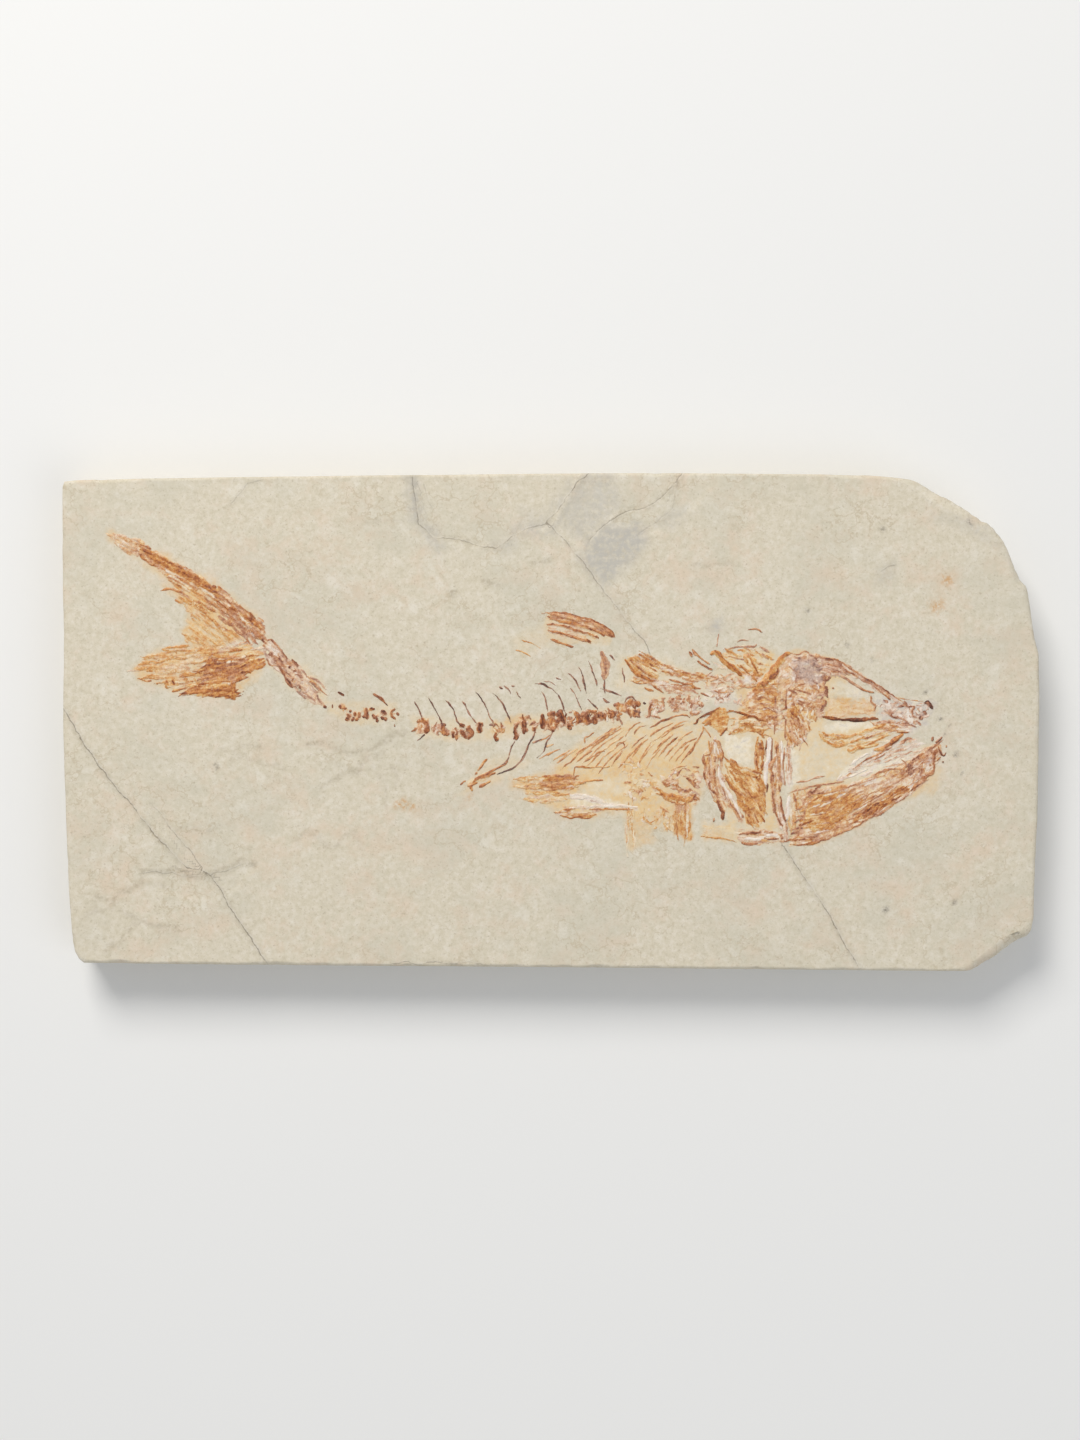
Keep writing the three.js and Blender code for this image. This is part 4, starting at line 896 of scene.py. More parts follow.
tailFin = {
    "slot": "orange_bone", "nodes": ["tail_fin"], "step": 0.18,
    "skins": [
        skin("""-91.3,38.9 -88.5,38.5 -85,37.8 -83,36.6 -82.5,35.4 -80,34.5 -77,33 -76,32.2 -73,31 -71,29.8
         -68.8,28.2 -67,27.2 -65,25.7 -63,24 -61,22.2 -59.5,21.4 -58.5,20.4 -57.8,19 -57.4,17.5 -58.5,16.5
         -62,17 -66,19.5 -69,22.5 -72,24.5 -74.5,25 -76.5,27 -78,28.8 -79.5,30.8 -82,32.2 -84,33.8 -87,34.6
         -88.8,36.2""", 0.44, 0.3, 0.09, 0.1, rosy=0.35, rough=0.5, fibres=85, fibreLength=1.6, palePart=0.28,
         grain="-91,37.7 -80,32 -72,27 -64,21 -58,16"),
        skin("""-79.5,26.8 -76.5,24.8 -74,25.5 -70,23.5 -66,19.5 -63,17 -65,15 -70,14.8 -74,15.5 -75,17.5 -73,19
         -74.6,20.5 -73.5,22.3 -76.5,24.3""", 0.35, 0.2, 0.05, 0.1, rosy=-0.3, rough=0.9, fibres=26,
         palePart=0.2, grain="-79,27 -72,22 -64,16"),
        skin("""-85.6,11.5 -84.7,9.3 -81,8.2 -78,7.2 -75,6.2 -70,8 -66,10 -61,10.5 -58.8,11.6 -58.5,14.5
         -61,16.5 -66,15.6 -72,15.7 -76,15.6 -80,14.9 -84,12.8""", 0.4, 0.24, 0.07, 0.1, rosy=-0.2, rough=0.7,
         fibres=60, scatter=16, palePart=0.25, grain="-86,10.4 -78,11 -68,12.2 -58,13.5"),
        skin("""-75.4,5.8 -70.5,5.1 -66.8,5.1 -66.5,4.4 -64.2,4.4 -64.1,8 -61.5,10 -58.3,11.2 -58.3,12.6
         -61,13.2 -66,13.8 -69.8,13 -71.3,10 -71,8.2""", 0.6, 0.28, 0.14, 0.07, rosy=0.35, rough=0.4, fibres=45,
         palePart=0.2, grain="-76,6 -70,8.3 -64,10.5 -58,13"),
        skin("""-83.8,35.3 -80,33.9 -76,31.7 -72,29.5 -68.4,27.6 -68,26.4 -70,26.6 -74,28.8 -78,31.2
         -82,33.6""", 0.56, 0.16, 0.12, 0.04, rosy=-0.5, fibres=12, palePart=0, grain="-84,35 -76,31 -68,26.8"),
        skin("-76,5.8 -71,5.2 -66.8,5.1 -66.5,4.4 -64.3,4.4 -64.2,7.4 -65.4,8.8 -68.6,9 -72,7.6", 0.52,
         0.16, 0.12, 0.05, rosy=-0.5, fibres=14, palePart=0.15, grain="-76,6 -70,7 -64,8"),
    ],
    "bones": [
        rods(0.5, 0.18, 0.66, """-83.6,35.2 -80,33.8 -77,32.3 -74,30.6 | -83,34.9 -81,34.4 -79,33.2 -77.2,32.3 |
         -84,34.3 -83,33.2 -82,32.6 -80.3,31.6 | -81,33 -79.5,32.4 | -76.3,31.8 -74.5,30.7 -72,29.8 | -77,30
         -75.3,29 -74,28.2 -72.8,27.2 -72,26.7 | -78.2,28.9 -76.8,28.3 -75.5,27.6 | -79.8,26.8 -78,27.2 -76,26.6
         -74.6,25.8 | -73,24.8 -71.5,24.2 -70,23.3 -68.5,22.6 | -70.2,24.5 -69,24.2 | -68.3,24.6 -67.5,24
         -66.8,23.4 | -66.3,22.8 -65.5,21.8 -64.8,20.9 -64,20 -62.5,18.9 | -66,20.5 -65,19.5 -64,18.4 -63,17.7
         -62,16.8 -61.5,16 | -64.5,24.2 -62,22.4 -60.8,20.8 -60.2,20.2 | -88.5,38 -86.5,37.2 -84.5,36.3 |
         -86,35.4 -84.5,34.8 | -71.5,28.9 -69.5,27.4 -67,25.5 -64,23 | -75,30.6 -72,28.4 | -70,26 -67,23.8
         -64.5,21.6""", rosy=0.2),
        rods(0.5, 0.16, 0.5, """-90.5,38.2 -88,37.6 -86,37 | -89,37 -87,36.2 -85.5,35.4 | -87.5,35.6 -86,35 |
         -82.5,35.2 -80,33.8 -77.5,32.6 | -75.5,30 -73.5,28.6 | -72,23.2 -70,21.6 -67.5,19.2 | -69,20.8 -67,18.2
         -65.5,16.6 | -76,25.6 -73.5,24 | -71,19.5 -68,17 | -73.5,22 -71.5,20.6"""),
        rods(0.65, 0.24, 0.78, """-83.4,35.1 -80.6,34 -77.6,32.5 | -76.4,31.2 -74,30 -71.8,28.6 | -72.4,29
         -70,27.4 -68.4,26.8""", rosy=0.0, rough=0.3),
        rods(0.85, 0.26, 0.72, """-73,29.6 -72,28.6 -71,27.9 -69.5,26.9 -68.2,26.6 | -69.2,27.8 -68.3,27.4 |
         -62.8,21.8 -60.6,20.3 -59.2,18.8 | -61.2,18.8 -60,17.6 -59,17 | -75.3,5.8 -72,6.1 -70,6.2
         -65.3,6.9"""),
        rods(0.5, 0.18, 0.7, """-72.5,7.4 -70,7.9 -65.6,8.3 | -71,9 -68,9.4 -65.5,9.5 | -71,9.9 -68,10.1
         -65.7,10.7 | -69.5,11 -66,11.2 -63,11.6 | -69,12.5 -65,12.7 -62.5,12.8 | -65.2,8.2 -64.6,5.2 |
         -64.2,8.5 -63.3,9.1 -62.3,9.9 | -62.5,12 -60.5,12.5 -58.5,12.9 | -70,5.4 -66.6,5.5 -64.6,4.8 |
         -61.6,10.1 -61.2,10.1 | -80.6,7.8 -80.2,7.8 | -77.4,8.5 -76.7,7.7 | -74.9,8.8 -74.2,8.5 | -78.6,8.6
         -78.4,7.8 -78.7,7.2 -78.2,6.8 | -69.8,13.8 -66.5,14.4 -63,14.6"""),
        rods(0.45, 0.14, 0.52, """-84.5,11 -81,11.1 -77,11 | -84.3,11.6 -82,12.1 | -84.5,10.6 -83,10.9 | -80,10
         -76.5,10.3 | -76.5,14.5 -73,14.5 | -84.6,8.9 -83,8.4 -81.5,8.4 | -77,6.6 -75.8,6.5 | -78,12.9 -74,13 |
         -75,12 -72.2,12 | -78,11.6 -77,11.7 | -73,9 -72.4,8.4 -72.3,7.4 | -82.5,9.4 -81.5,9.8 | -80,12.3
         -79.2,12.4 | -72,14 -69,14.4 | -79,15 -77.6,15.3 | -83,13 -81,13.6 | -76,9.2 -73,9.6"""),
    ],
    "stains": [
        stain("-73,21.5 -70,20 -67,19 -66,17 -69,15.8 -73,16.2 -74,17.5", 0, 0.6, 0.8, tone=0.24),
        stain("-68,15 -62,18 -63,16 -67.5,14.2", 0, 0.7, 0.6, tone=0.2, rosy=0.7, bleach=0.6),
        stain("-91,37.8 -86,36", 1.6, 0.6, 0.6, tone=0.22, rosy=0.5, bleach=0.15),
        stain("-75,5.8", 0.4, 0.9, 0.3, tone=0.95),
        stain("-72.3,6.1 -71.5,6.2", 0.4, 0.9, 0.3, tone=0.6),
        stain("-66,20.6 -62,18.4 -59.5,16.6", 1.6, 0.6, 0.9, tone=0.66, rosy=0.9),
        stain("-84.6,10.6 -81,12.6 -76,15 -71,15.8", 1.5, 0.8, 1.0, tone=0.46, rosy=-1.0),
        stain("-80,10 -76,11.6 -72,12.6", 1.0, 0.6, 1.0, tone=0.28, rosy=0.45, bleach=0.25),
        stain("-68,9.5 -64,9.5", 1.6, 0.4, 0.6, tone=0.6, rosy=0.5),
    ],
}

layBones("tail_fin_rays", tailFin, 1001)


# The tail stem: a pinkish, half bleached stretch where the tail joins the backbone

tailStem = {
    "slot": "pale_bone", "nodes": ["tail_stem"], "rosy": 0.7,
    "skins": [
        skin("""-59,15 -58.5,17 -56,16 -53.5,13 -51.5,11.4 -49.5,9.4 -47.5,8.8 -46.6,7.7 -47.3,5.5 -46,3.1
         -48,3.4 -50.5,4.8 -52.3,6.7 -54.5,9 -56.5,11.4 -58.5,12.5""", 0.36, 0.34, 0.08, 0.1, bleach=0.4,
         mottle=0.5, drift=0.3, fibres=40, scatter=16, grain="-59,15 -55,11.5 -51,8.3 -46,5"),
    ],
    "bones": [
        rods(0.5, 0.2, 0.66, """-58.2,16.6 -57,16.7 -56.2,15.9 -55,14.6 -54.2,13.4 -53.8,12.7 | -53,12.8
         -52,11.9 -51.5,11.4 | -58.8,15.8 -57.8,14.8 -57,14.2 -56.8,13 | -58,12.9 -57.3,11.7 -56,11.5 -55,11.3 |
         -57.8,13.8 -56,13.2 -54.6,12.2"""),
        rods(0.85, 0.26, 0.74, """-56,12 -55,10.6 -54.3,9.4 -53.5,8 -52.6,7 | -53.5,11.2 -53.1,11.2 | -52.9,8.7
         -52.6,8.6 | -52.4,10.6 -52.1,10.3 | -46.5,3.3 -45.9,3 | -44.8,3.2 -44.4,3.2 | -51.4,7.2 -51,7.1"""),
        rods(0.4, 0.14, 0.6, """-51.9,6.3 -51,5.5 -50,4.6 | -51,10.8 -50.2,9.9 -49.8,9 | -49.5,9 -48,8.7
         -46.8,7.8 | -49,8 -48.3,7.5 -47.6,6.6 | -50,6 -49.2,7.2 | -47.7,5.5 -47.3,4.4 -46.6,3.6 | -49,5
         -48,4""", rosy=1.0, bleach=0.3),
    ],
    "stains": [
        stain("-57.5,15.5 -56,14", 0.6, 0.8, 0.6, tone=0.1, bleach=0.8),
        stain("-50.5,7.5 -49,6.2", 0.7, 0.7, 0.6, tone=0.15, bleach=0.7),
    ],
}

layBones("tail_stem_scraps", tailStem, 1401)


# Loose tail vertebrae: crumbs on a worn film

tailVertebrae = {
    "slot": "dark_bone", "rosy": 0.5,
    "film": dict(tone=0.4, contrast=0.3, height=0.06, wear=0.09, rough=0.5, mottle=0.8),
    "marks": [  # width of the crumbs, outline of the film, lines of the crumbs
        (0.6, "-43,3.6 -41.8,3.6 -41.4,2.2 -42.6,2.2",
         "-43.5,6.2 -42.2,5.3 | -42.6,3 -41.8,2.6 | -43.2,3.4 -42.7,2.6"),
        (0.75, "-42,2.6 -40.4,2.6 -40.4,0.2 -41.8,0.2",
         "-41.2,2.4 -40.8,2 | -41.9,0.7 -41.3,0.5 | -41.6,1.7 -41,1"),
        (0.8, "-40.6,2 -38.6,2.2 -38.8,0.2 -40.6,0.2", """-40.7,0.7 -40.2,0.4 | -39.2,2.1 -39,0.8 | -39.8,0.7
         -39.3,0.4 | -40.3,1.8 -39.7,1.4"""),
        (0.8, "-38.4,2.8 -36,3 -35.8,2.2 -37,0.4 -38.2,0.6",
         "-37.7,2.9 -37.5,0.5 | -38.4,1.4 -37.9,0.9 | -36.9,2.8 -35.9,2.5"),
        (0.7, "-36.4,1.8 -35,1.6 -35,0 -36.4,0.2", """-35.7,1.3 -35.4,0 | -36.3,5.8 -34.8,4.8 -33.8,3.8
         -33.2,3.2 | -36.4,1.6 -35.9,0.6"""),
        (0.75, "-35,2.6 -33.2,2 -33.2,0.2 -34.8,0.6",
         "-34.7,2.4 -33.6,1.6 | -34,0.7 -33.4,0.4 | -34.8,1.1 -34.1,0.5"),
        (0.6, "-33,2.8 -31.4,2.8 -31.2,0.4 -32.8,0.8", """-31.7,2.8 -32.6,2.1 -32.5,1.2 -31.6,0.6 | -32,-0.7
         -31.7,-0.7 | -31.4,1.9 -31,1.4"""),
    ],
}

for number, (width, film, lines) in enumerate(tailVertebrae["marks"], 1):
    layBones(f"tail_vertebra_piece_{number}", {
        "slot": tailVertebrae["slot"], "nodes": [f"tail_vertebra_{number}"], "rosy": tailVertebrae["rosy"],
        "skins": [skin(film, grain=80, **tailVertebrae["film"])], "bones": [rods(width, 0.26, 0.78, lines)],
    }, 1500 + 7 * number)
print("tail laid")


# The backbone: for each node its block (broad, dark) and its spines (fine), read along the fish

backbone = {
    "slot": "dark_bone", "rosy": 0.35,
    "block": dict(width=1.1, height=0.26, tone=0.76, rough=0.22),
    "spine": dict(width=0.4, height=0.18, tone=0.8, rosy=0.6, bleach=0.4, tip=3),
    "film": dict(tone=0.5, contrast=0.3, height=0.09, wear=0.07, rosy=0.5, rough=0.6, mottle=0.8,
                 fibres=9, fibreLength=0.5, scatter=60, palePart=0.3),
    "nodes": [  # lines of the block, lines of the spines, outline of the film
        ("-27.3,0.3 -27,0.1 | -26.4,0.9 -25.6,-0.1 -25.3,-1.2 -25.4,-2.3 | -28,-1.4 -27.8,-1.8",
         "-27.9,4.3 -27.2,3.1 -26.7,1.9 -26.2,0.8 | -25.7,-2.5 -26.5,-3.3 -27.3,-4",
         "-28.2,0.8 -25,0.4 -24.8,-2.6 -27.6,-2.6"),
        ("-22,-0.6 -21.9,-1.8 -21.4,-2.8 | -21.3,-2.3 -21.1,-2.6", """-25,4.9 -24.2,3.7 -23.3,1.9 -22.3,0.1
         -21.9,-0.8 | -24.2,-1 -23.6,-1.1""", "-24.4,-0.4 -21.4,-0.2 -20.8,-2.8 -24,-2.4"),
        ("-19.8,-1.9 -19.8,-3.3 | -19.3,-2.4 -18.9,-2.6", "-21.5,4.6 -20.5,3.4 -19.7,1.9 -19.2,0.4 -18.6,-0.6",
         "-20.4,-1.4 -18.6,-1.6 -18.6,-3.4 -20.4,-3.4"),
        ("""-18.6,-0.7 -17.5,-0.9 | -18.3,-1.5 -17.9,-2.6 -17.2,-3.4 | -17.3,-1.4 -16.3,-1.9 -16.2,-2.7
         -16.9,-3.3""", "-18.3,4.5 -17.4,3.2 -16.5,1.5 -15.6,0.2 -15,-0.3",
         "-18.8,-0.3 -16.6,-0.6 -15.8,-2 -16.4,-3.6 -18.2,-3.4"),
        ("-14.7,0 -14.6,-1 -14.5,-2.3", "-15.5,6.3 -14.3,4.9 -13.3,3.2 -12.5,1.3 -11.9,0 -11.5,-1.5",
         "-15.2,0.2 -13.8,0.2 -13.6,-2 -15,-2.4"),
        ("-10.9,-2.2 -11.3,-3 -10.8,-4", """-11.9,6 -10.6,4.7 -9.5,3.2 -8.7,1.2 -8,-0.5 | -12.6,-0.6
         -11.8,-0.8""", "-12,-0.4 -9.4,-0.8 -9.4,-2.2 -11.6,-2.4"),
        ("-7.4,-0.9 -7.3,-2 -6.9,-2.8 -7.4,-3.7", """-7.2,-3.5 -8,-5 -8.3,-6 -8.7,-7.5 -9.8,-8.8 -11.5,-9.8
         -13.5,-11 | -9.6,7.4 -8.7,6.6 -8,5.7 | -8,7.4 -7.4,7.2 | -7,6.2 -6.6,5.4 -6,4.9""",
         "-8,0 -6.4,-0.2 -6.2,-2.6 -7.6,-3"),
        ("-5.7,0.4 -5.5,-0.8 -5.4,-2.4", "-10.7,7.2 -9.6,6.6 | -4.4,0.9 -4,0.5",
         "-6.4,1.2 -4,1.4 -4.4,-0.4 -5,-2.6 -6,-2.2"),
        ("-3.4,-1 -3.3,-2", """-3.2,-1.4 -3.5,-2.7 -4.4,-4.5 -5.1,-6.3 -6,-7.9 -7.5,-9.3 -9,-10 -11,-10.7 |
         -3.8,-4.4 -2.6,-3.8 -1.6,-3.5""", "-3.9,0 -2.6,-0.4 -2.8,-2.2 -3.8,-2"),
        ("-1.7,1.6 -1.6,-1.5 | -0.8,1.7 0.9,1.6 | 0,-1.4 1,-1.4 | 0.9,0.6 1,-0.8", """-2,6.2 -1.2,5 -0.9,3.3
         -0.5,2 | 0.6,-1.5 0.1,-2.7 -0.8,-4 -1.2,-5.4 -2,-6.7 -2.9,-7.3 | -3.4,7.8 -2,7.8 -0.2,7 1.3,5.8""",
         "-1.9,1.9 1.2,1.9 1.4,-1.5 -1.8,-1.7"),
        ("1,1.3 2,1.8 2.3,0.6 2.8,-0.4", "1.3,5.8 2.3,4 2.7,2.6 3.2,1.6 | -1.4,8.3 -0.3,8.2 1,7.5",
         "1.1,1.6 3,1 3.4,-0.8 1.2,-1.2"),
        ("3.3,-0.7 4.2,-0.7 | 4,-0.9 3.9,-1.7",
         "1,9.1 2.2,8.6 | 3.5,10 4.8,8.8 5.6,7.4 6.2,6.2 | 3.6,1.9 4.4,2", "3,1.4 4.8,1.4 4.8,-1.4 3,-1"),
        ("4.9,2 5.5,1.1 5.6,-0.3", "4,7 5,5.5 5.7,3.8 6.3,2.4 | 5.7,11.3 6.3,9.8 6.7,8.2 7,6.8 7.3,5.6",
         "4.6,2.2 6.2,1.8 6.4,-0.6 4.8,-0.6"),
        ("6,1.6 7.2,1.2 7.6,0.3 7.4,-0.6 | 6.3,0.8 6.3,-0.2 | 7.2,2.2 8.3,2.2",
         "7.3,4.8 8.5,3.8 9.8,2.5 | 7.7,12.7 8.3,11 9,9 9.6,7.3", "6,2.2 8.2,2.2 8.2,-0.8 6,-0.6"),
        ("8.8,1.3 9,0.2 8.9,-0.6 | 8,2.1 9.4,1.9", "10.9,8.6 11,7 11.1,5.8", "8.2,2.2 9.8,2 9.6,-0.6 8.4,-0.6"),
        ("10,1.9 9.8,0.7 | 10.4,1.3 10.7,0.6", "10.5,4.9 11.3,4.2 12.1,4 | 12,13.8 13,12.6",
         "9.6,2.3 10.8,2.2 10.8,0.2 9.6,0.2"),
        ("10.9,2 11.3,0.6", "10,7 12,6.3 13.4,5.8 14.7,5.3 | 14.5,11.3 14.9,9.5 15,8",
         "10.6,2.3 12,2.2 12,0.4 10.8,0.4"),
        ("11.8,1.9 12.7,1.7 12.5,0.6", "13.4,0.6 14.2,0.4 14.6,-0.6", "11.8,2.4 14,2.4 14.4,0.2 12,0.2"),
        ("12.9,3.2 13.8,3.6 13.7,2.3 | 15.8,2.6 16.1,1.5", "16.8,2.4 18.4,1.9 | 17,1.2 18.4,0.9",
         "12.6,3.6 15,3.8 18.4,2.6 18.4,0.6 15.2,1.4 13.2,2"),
        ("17.5,4.1 18.1,3.2", "14.9,3.8 15.6,4.8 16.6,5.2 17.5,4.2 | 18.9,4 19.4,3.6",
         "14.8,4.2 16.4,5.4 18.4,4 17.4,2.9 15.4,2.9"),
    ],
    "warm": {10: "-0.3,0.3", 20: "16,4"},  # blocks with a bright orange core
    "lens": {15: "10.2,14.6 10.9,13 11.1,11 10.9,8.5"},  # the one broad spine
}

for number, (blocks, spines, film) in enumerate(backbone["nodes"], 1):
    design = {
        "slot": backbone["slot"], "nodes": [f"vertebra_{number}"], "rosy": backbone["rosy"],
        "skins": [skin(film, grain=80, **backbone["film"])],
        "bones": [rods(paths=spines, **backbone["spine"]), rods(paths=blocks, **backbone["block"])],
    }
    if number in backbone["lens"]:
        broad = {**backbone["spine"], "width": 2.0, "tip": 1.4, "tone": 0.46, "rosy": -0.2, "wear": 0.15}
        design["bones"].append(rods(paths=backbone["lens"][number], **broad))
    if number in backbone["warm"]:
        design["stains"] = [stain(backbone["warm"][number], 0.8, 1, 0.5, tone=0.58, rosy=0)]
    layBones(f"backbone_piece_{number}", design, 1700 + 7 * number)


# Three vertebrae seen end on, behind the head

neckVertebrae = {
    "slot": "brown_bone", "rosy": 0.7,
    "film": dict(tone=0.34, contrast=0.3, height=0.06, wear=0.09, rough=0.6, mottle=0.8,
                 fibres=26, fibreLength=0.6, scatter=90, palePart=0.4),
    "rim": dict(width=0.5, height=0.2, tone=0.66),
    "nodes": [  # outline of the film, dark lines
        ("19.6,1 19.8,3.4 21,4.8 22.6,4.4 23.2,2.6 22,1 20.6,0.4", """20.1,0.9 20.1,2.6 20.6,3.8 21.3,4.6 |
         21.6,3.1 21.9,2.8 | 19.9,1.5 20.3,1.2 | 22.6,4.9 23.4,4.8 | 22.9,4.7 23,3.9 23,3 | 21,1.2 22.4,0.8 |
         21,4.6 21.9,4.2"""),
        ("23.8,4.9 25.4,5.2 27.4,4.8 27.8,3 26.4,1.8 24.4,2.2", """24.6,4.6 25.4,4.8 | 24.6,3.4 25.2,2.9
         25.9,3.3 | 26,5.4 26.6,5.2 | 26.8,4.2 27.4,3.9 | 25,2.2 26.2,2.2"""),
        ("28,5.2 30.2,5 31,3.2 30.4,1.4 28.8,1.4 28,2.6", """28.2,5.4 28.4,3.6 | 28.6,2.9 28.9,3.6 29.7,3.8
         30.6,3.3 | 28.8,2 29.6,1.5 30.4,1.9 | 30.7,4 31.2,3.2"""),
    ],
    "chalk": {3: "29.6,2.8"},
}

for number, (film, lines) in enumerate(neckVertebrae["nodes"], 1):
    design = {
        "slot": neckVertebrae["slot"], "nodes": [f"neck_vertebra_{number}"], "rosy": neckVertebrae["rosy"],
        "skins": [skin(film, grain=70, **neckVertebrae["film"])],
        "bones": [rods(paths=lines, **neckVertebrae["rim"])],
    }
    if number in neckVertebrae["chalk"]:
        design["stains"] = [stain(neckVertebrae["chalk"][number], 0.8, 0.8, 0.6, bleach=0.9)]
    layBones(f"neck_ring_{number}", design, 1900 + 7 * number)
print("backbone laid")


# The dorsal fin: four broad rays under a heavy first one

dorsalFin = {
    "slot": "orange_bone", "nodes": ["dorsal_fin"],
    "skins": [
        skin("""-0.4,22.4 3,22 6,21.3 9,20.5 11,19.5 12.5,18.4 13.2,17.2 11,17.4 9.4,18.3 6,19.5 3,20.4
         -0.2,20.9""", 0.44, 0.24, 0.12, 0.05, rosy=0.2, fibres=10, palePart=0.2,
         grain="-1,21.6 4,20.6 9,19.2 13,17.4"),
        skin("-0.6,20.8 4,19.9 9.6,18 9.6,17 8.2,16.2 5,16.6 3,16.8 -0.6,18.4", 0.24, 0.2, 0.03, 0.1, rosy=0.5,
         fibres=6, palePart=0.7, grain="-1,19.6 4,18.6 9,17.2"),
    ],
    "bones": [
        rods(1.15, 0.3, 0.56, "0,22 3,21.6 6,20.8 9,20 11,19 12.4,18 13,17.4", rosy=0.5, tip=9),
        rods(0.6, 0.22, 0.68, """0,21 3,20.4 6,19.6 9,18.7 10.7,17.8 11,17.5 | -0.8,20 2,19.7 5,18.8 8,17.9
         9.5,17.2 | -0.8,18.7 2,18.1 5,17.2 7,16.6 8.2,16.1 | 0,17 2,16.1 4.7,15.3""", rosy=0.3),
        rods(0.45, 0.2, 0.82, """0.3,22.5 3,22.2 6,21.4 9,20.6 11.5,19.2 12.8,18.2 | 9.2,17.6 9.8,17.1 | 11.8,18
         12.6,17.3 | 10.2,18.2 11,17.6 | 7.2,16.8 8.2,16.3""", rosy=0.3),
        rods(0.35, 0.14, 0.5, "-6,16.7 -3.5,15.9 -2,15 | -7.3,14.6 -5.5,14.2 -4,13.3"),
    ],
}

layBones("dorsal_fin_rays", dorsalFin, 2001)


# The anal fin: short rays and two haemal tips below the backbone

analFin = {
    "slot": "orange_bone", "nodes": ["anal_fin"], "rosy": 0.25,
    "skins": [
        skin("-15.8,-10.5 -13,-9.5 -11.3,-10.1 -12.6,-11.6 -13.5,-12.3 -16,-13 -17.5,-12.8", 0.34, 0.24,
         0.06, 0.09, grain="-17.5,-12.8 -14,-11 -11,-9.8"),
    ],
    "bones": [
        rods(0.6, 0.22, 0.62, """-8.7,-7.9 -10,-9 -12,-10 -13.3,-10.7 -15,-11.6 -16,-12.7 | -11.2,-10.4
         -13,-11.1 -14.3,-11.6 | -12.2,-12 -14,-13 -14.8,-13.4 | -13,-7.5 -14,-8.8 -15,-10 | -15.4,-10.5
         -15,-10.5 | -18.5,-12.9 -17.5,-12 | -16.5,-13.2 -16,-14.1 | -15,-12.4 -17,-13.2"""),
    ],
}

layBones("anal_fin_rays", analFin, 2101)


# Loose bones of the nape, between the dorsal fin and the skull

napePlate = {
    "slot": "orange_bone", "nodes": ["nape_bone_1"],
    "skins": [
        skin("""15,12.9 16.8,13.5 18.2,14.3 19.5,13.8 21,13.2 23,12.1 22.6,10.5 21.3,8.9 20,8.2 18.5,8.9 17,9.9
         15.9,11.3""", 0.37, 0.28, 0.1, 0.08, rosy=-0.1, rough=0.6, fibres=20,
         grain="15,13.5 18.5,11.5 22,9.5"),
        skin("22,12 25,11 29,10.2 33,10 33.5,8.6 30,8.4 26,9 23,10", 0.34, 0.24, 0.05, 0.1, rosy=0.2, rough=0.8,
         fibres=44, scatter=14, grain="22,11.5 27,10 33,9"),
        skin("16,8.6 20,8 24,6 28,5.6 30,7 27,8 22,8.6 18,9.2", 0.3, 0.24, 0.04, 0.12, rosy=0.6, rough=0.8,
         fibres=40, scatter=20, grain="16,9 22,7.4 29,5.6"),
    ],
    "bones": [
        rods(0.7, 0.26, 0.74, "15,12.9 16,11.6 17,10.2 18.5,9.3 20,8.6 21.3,8.3 | 28.5,8 29.5,6.8"),
        rods(0.45, 0.18, 0.64, """22.5,10.4 24,10.1 25,9.5 | 23,12 25,10.6 28,9.8 31,9.3 | 25.8,7 27.3,6.2 |
         16.3,8.6 18,7.8 20,8 22,6.6 23.2,5.8 | 17,13.2 19.5,11.6 21.8,10.2 | 18,14 20,12.6 22.4,11.4 |
         16.2,12.6 18,11 20,9.6 | 24,8.8 26.5,8 29,7.6 | 19,7 21,6.2""", rosy=0.3),
    ],
}

layBones("nape_plate", napePlate, 2201)

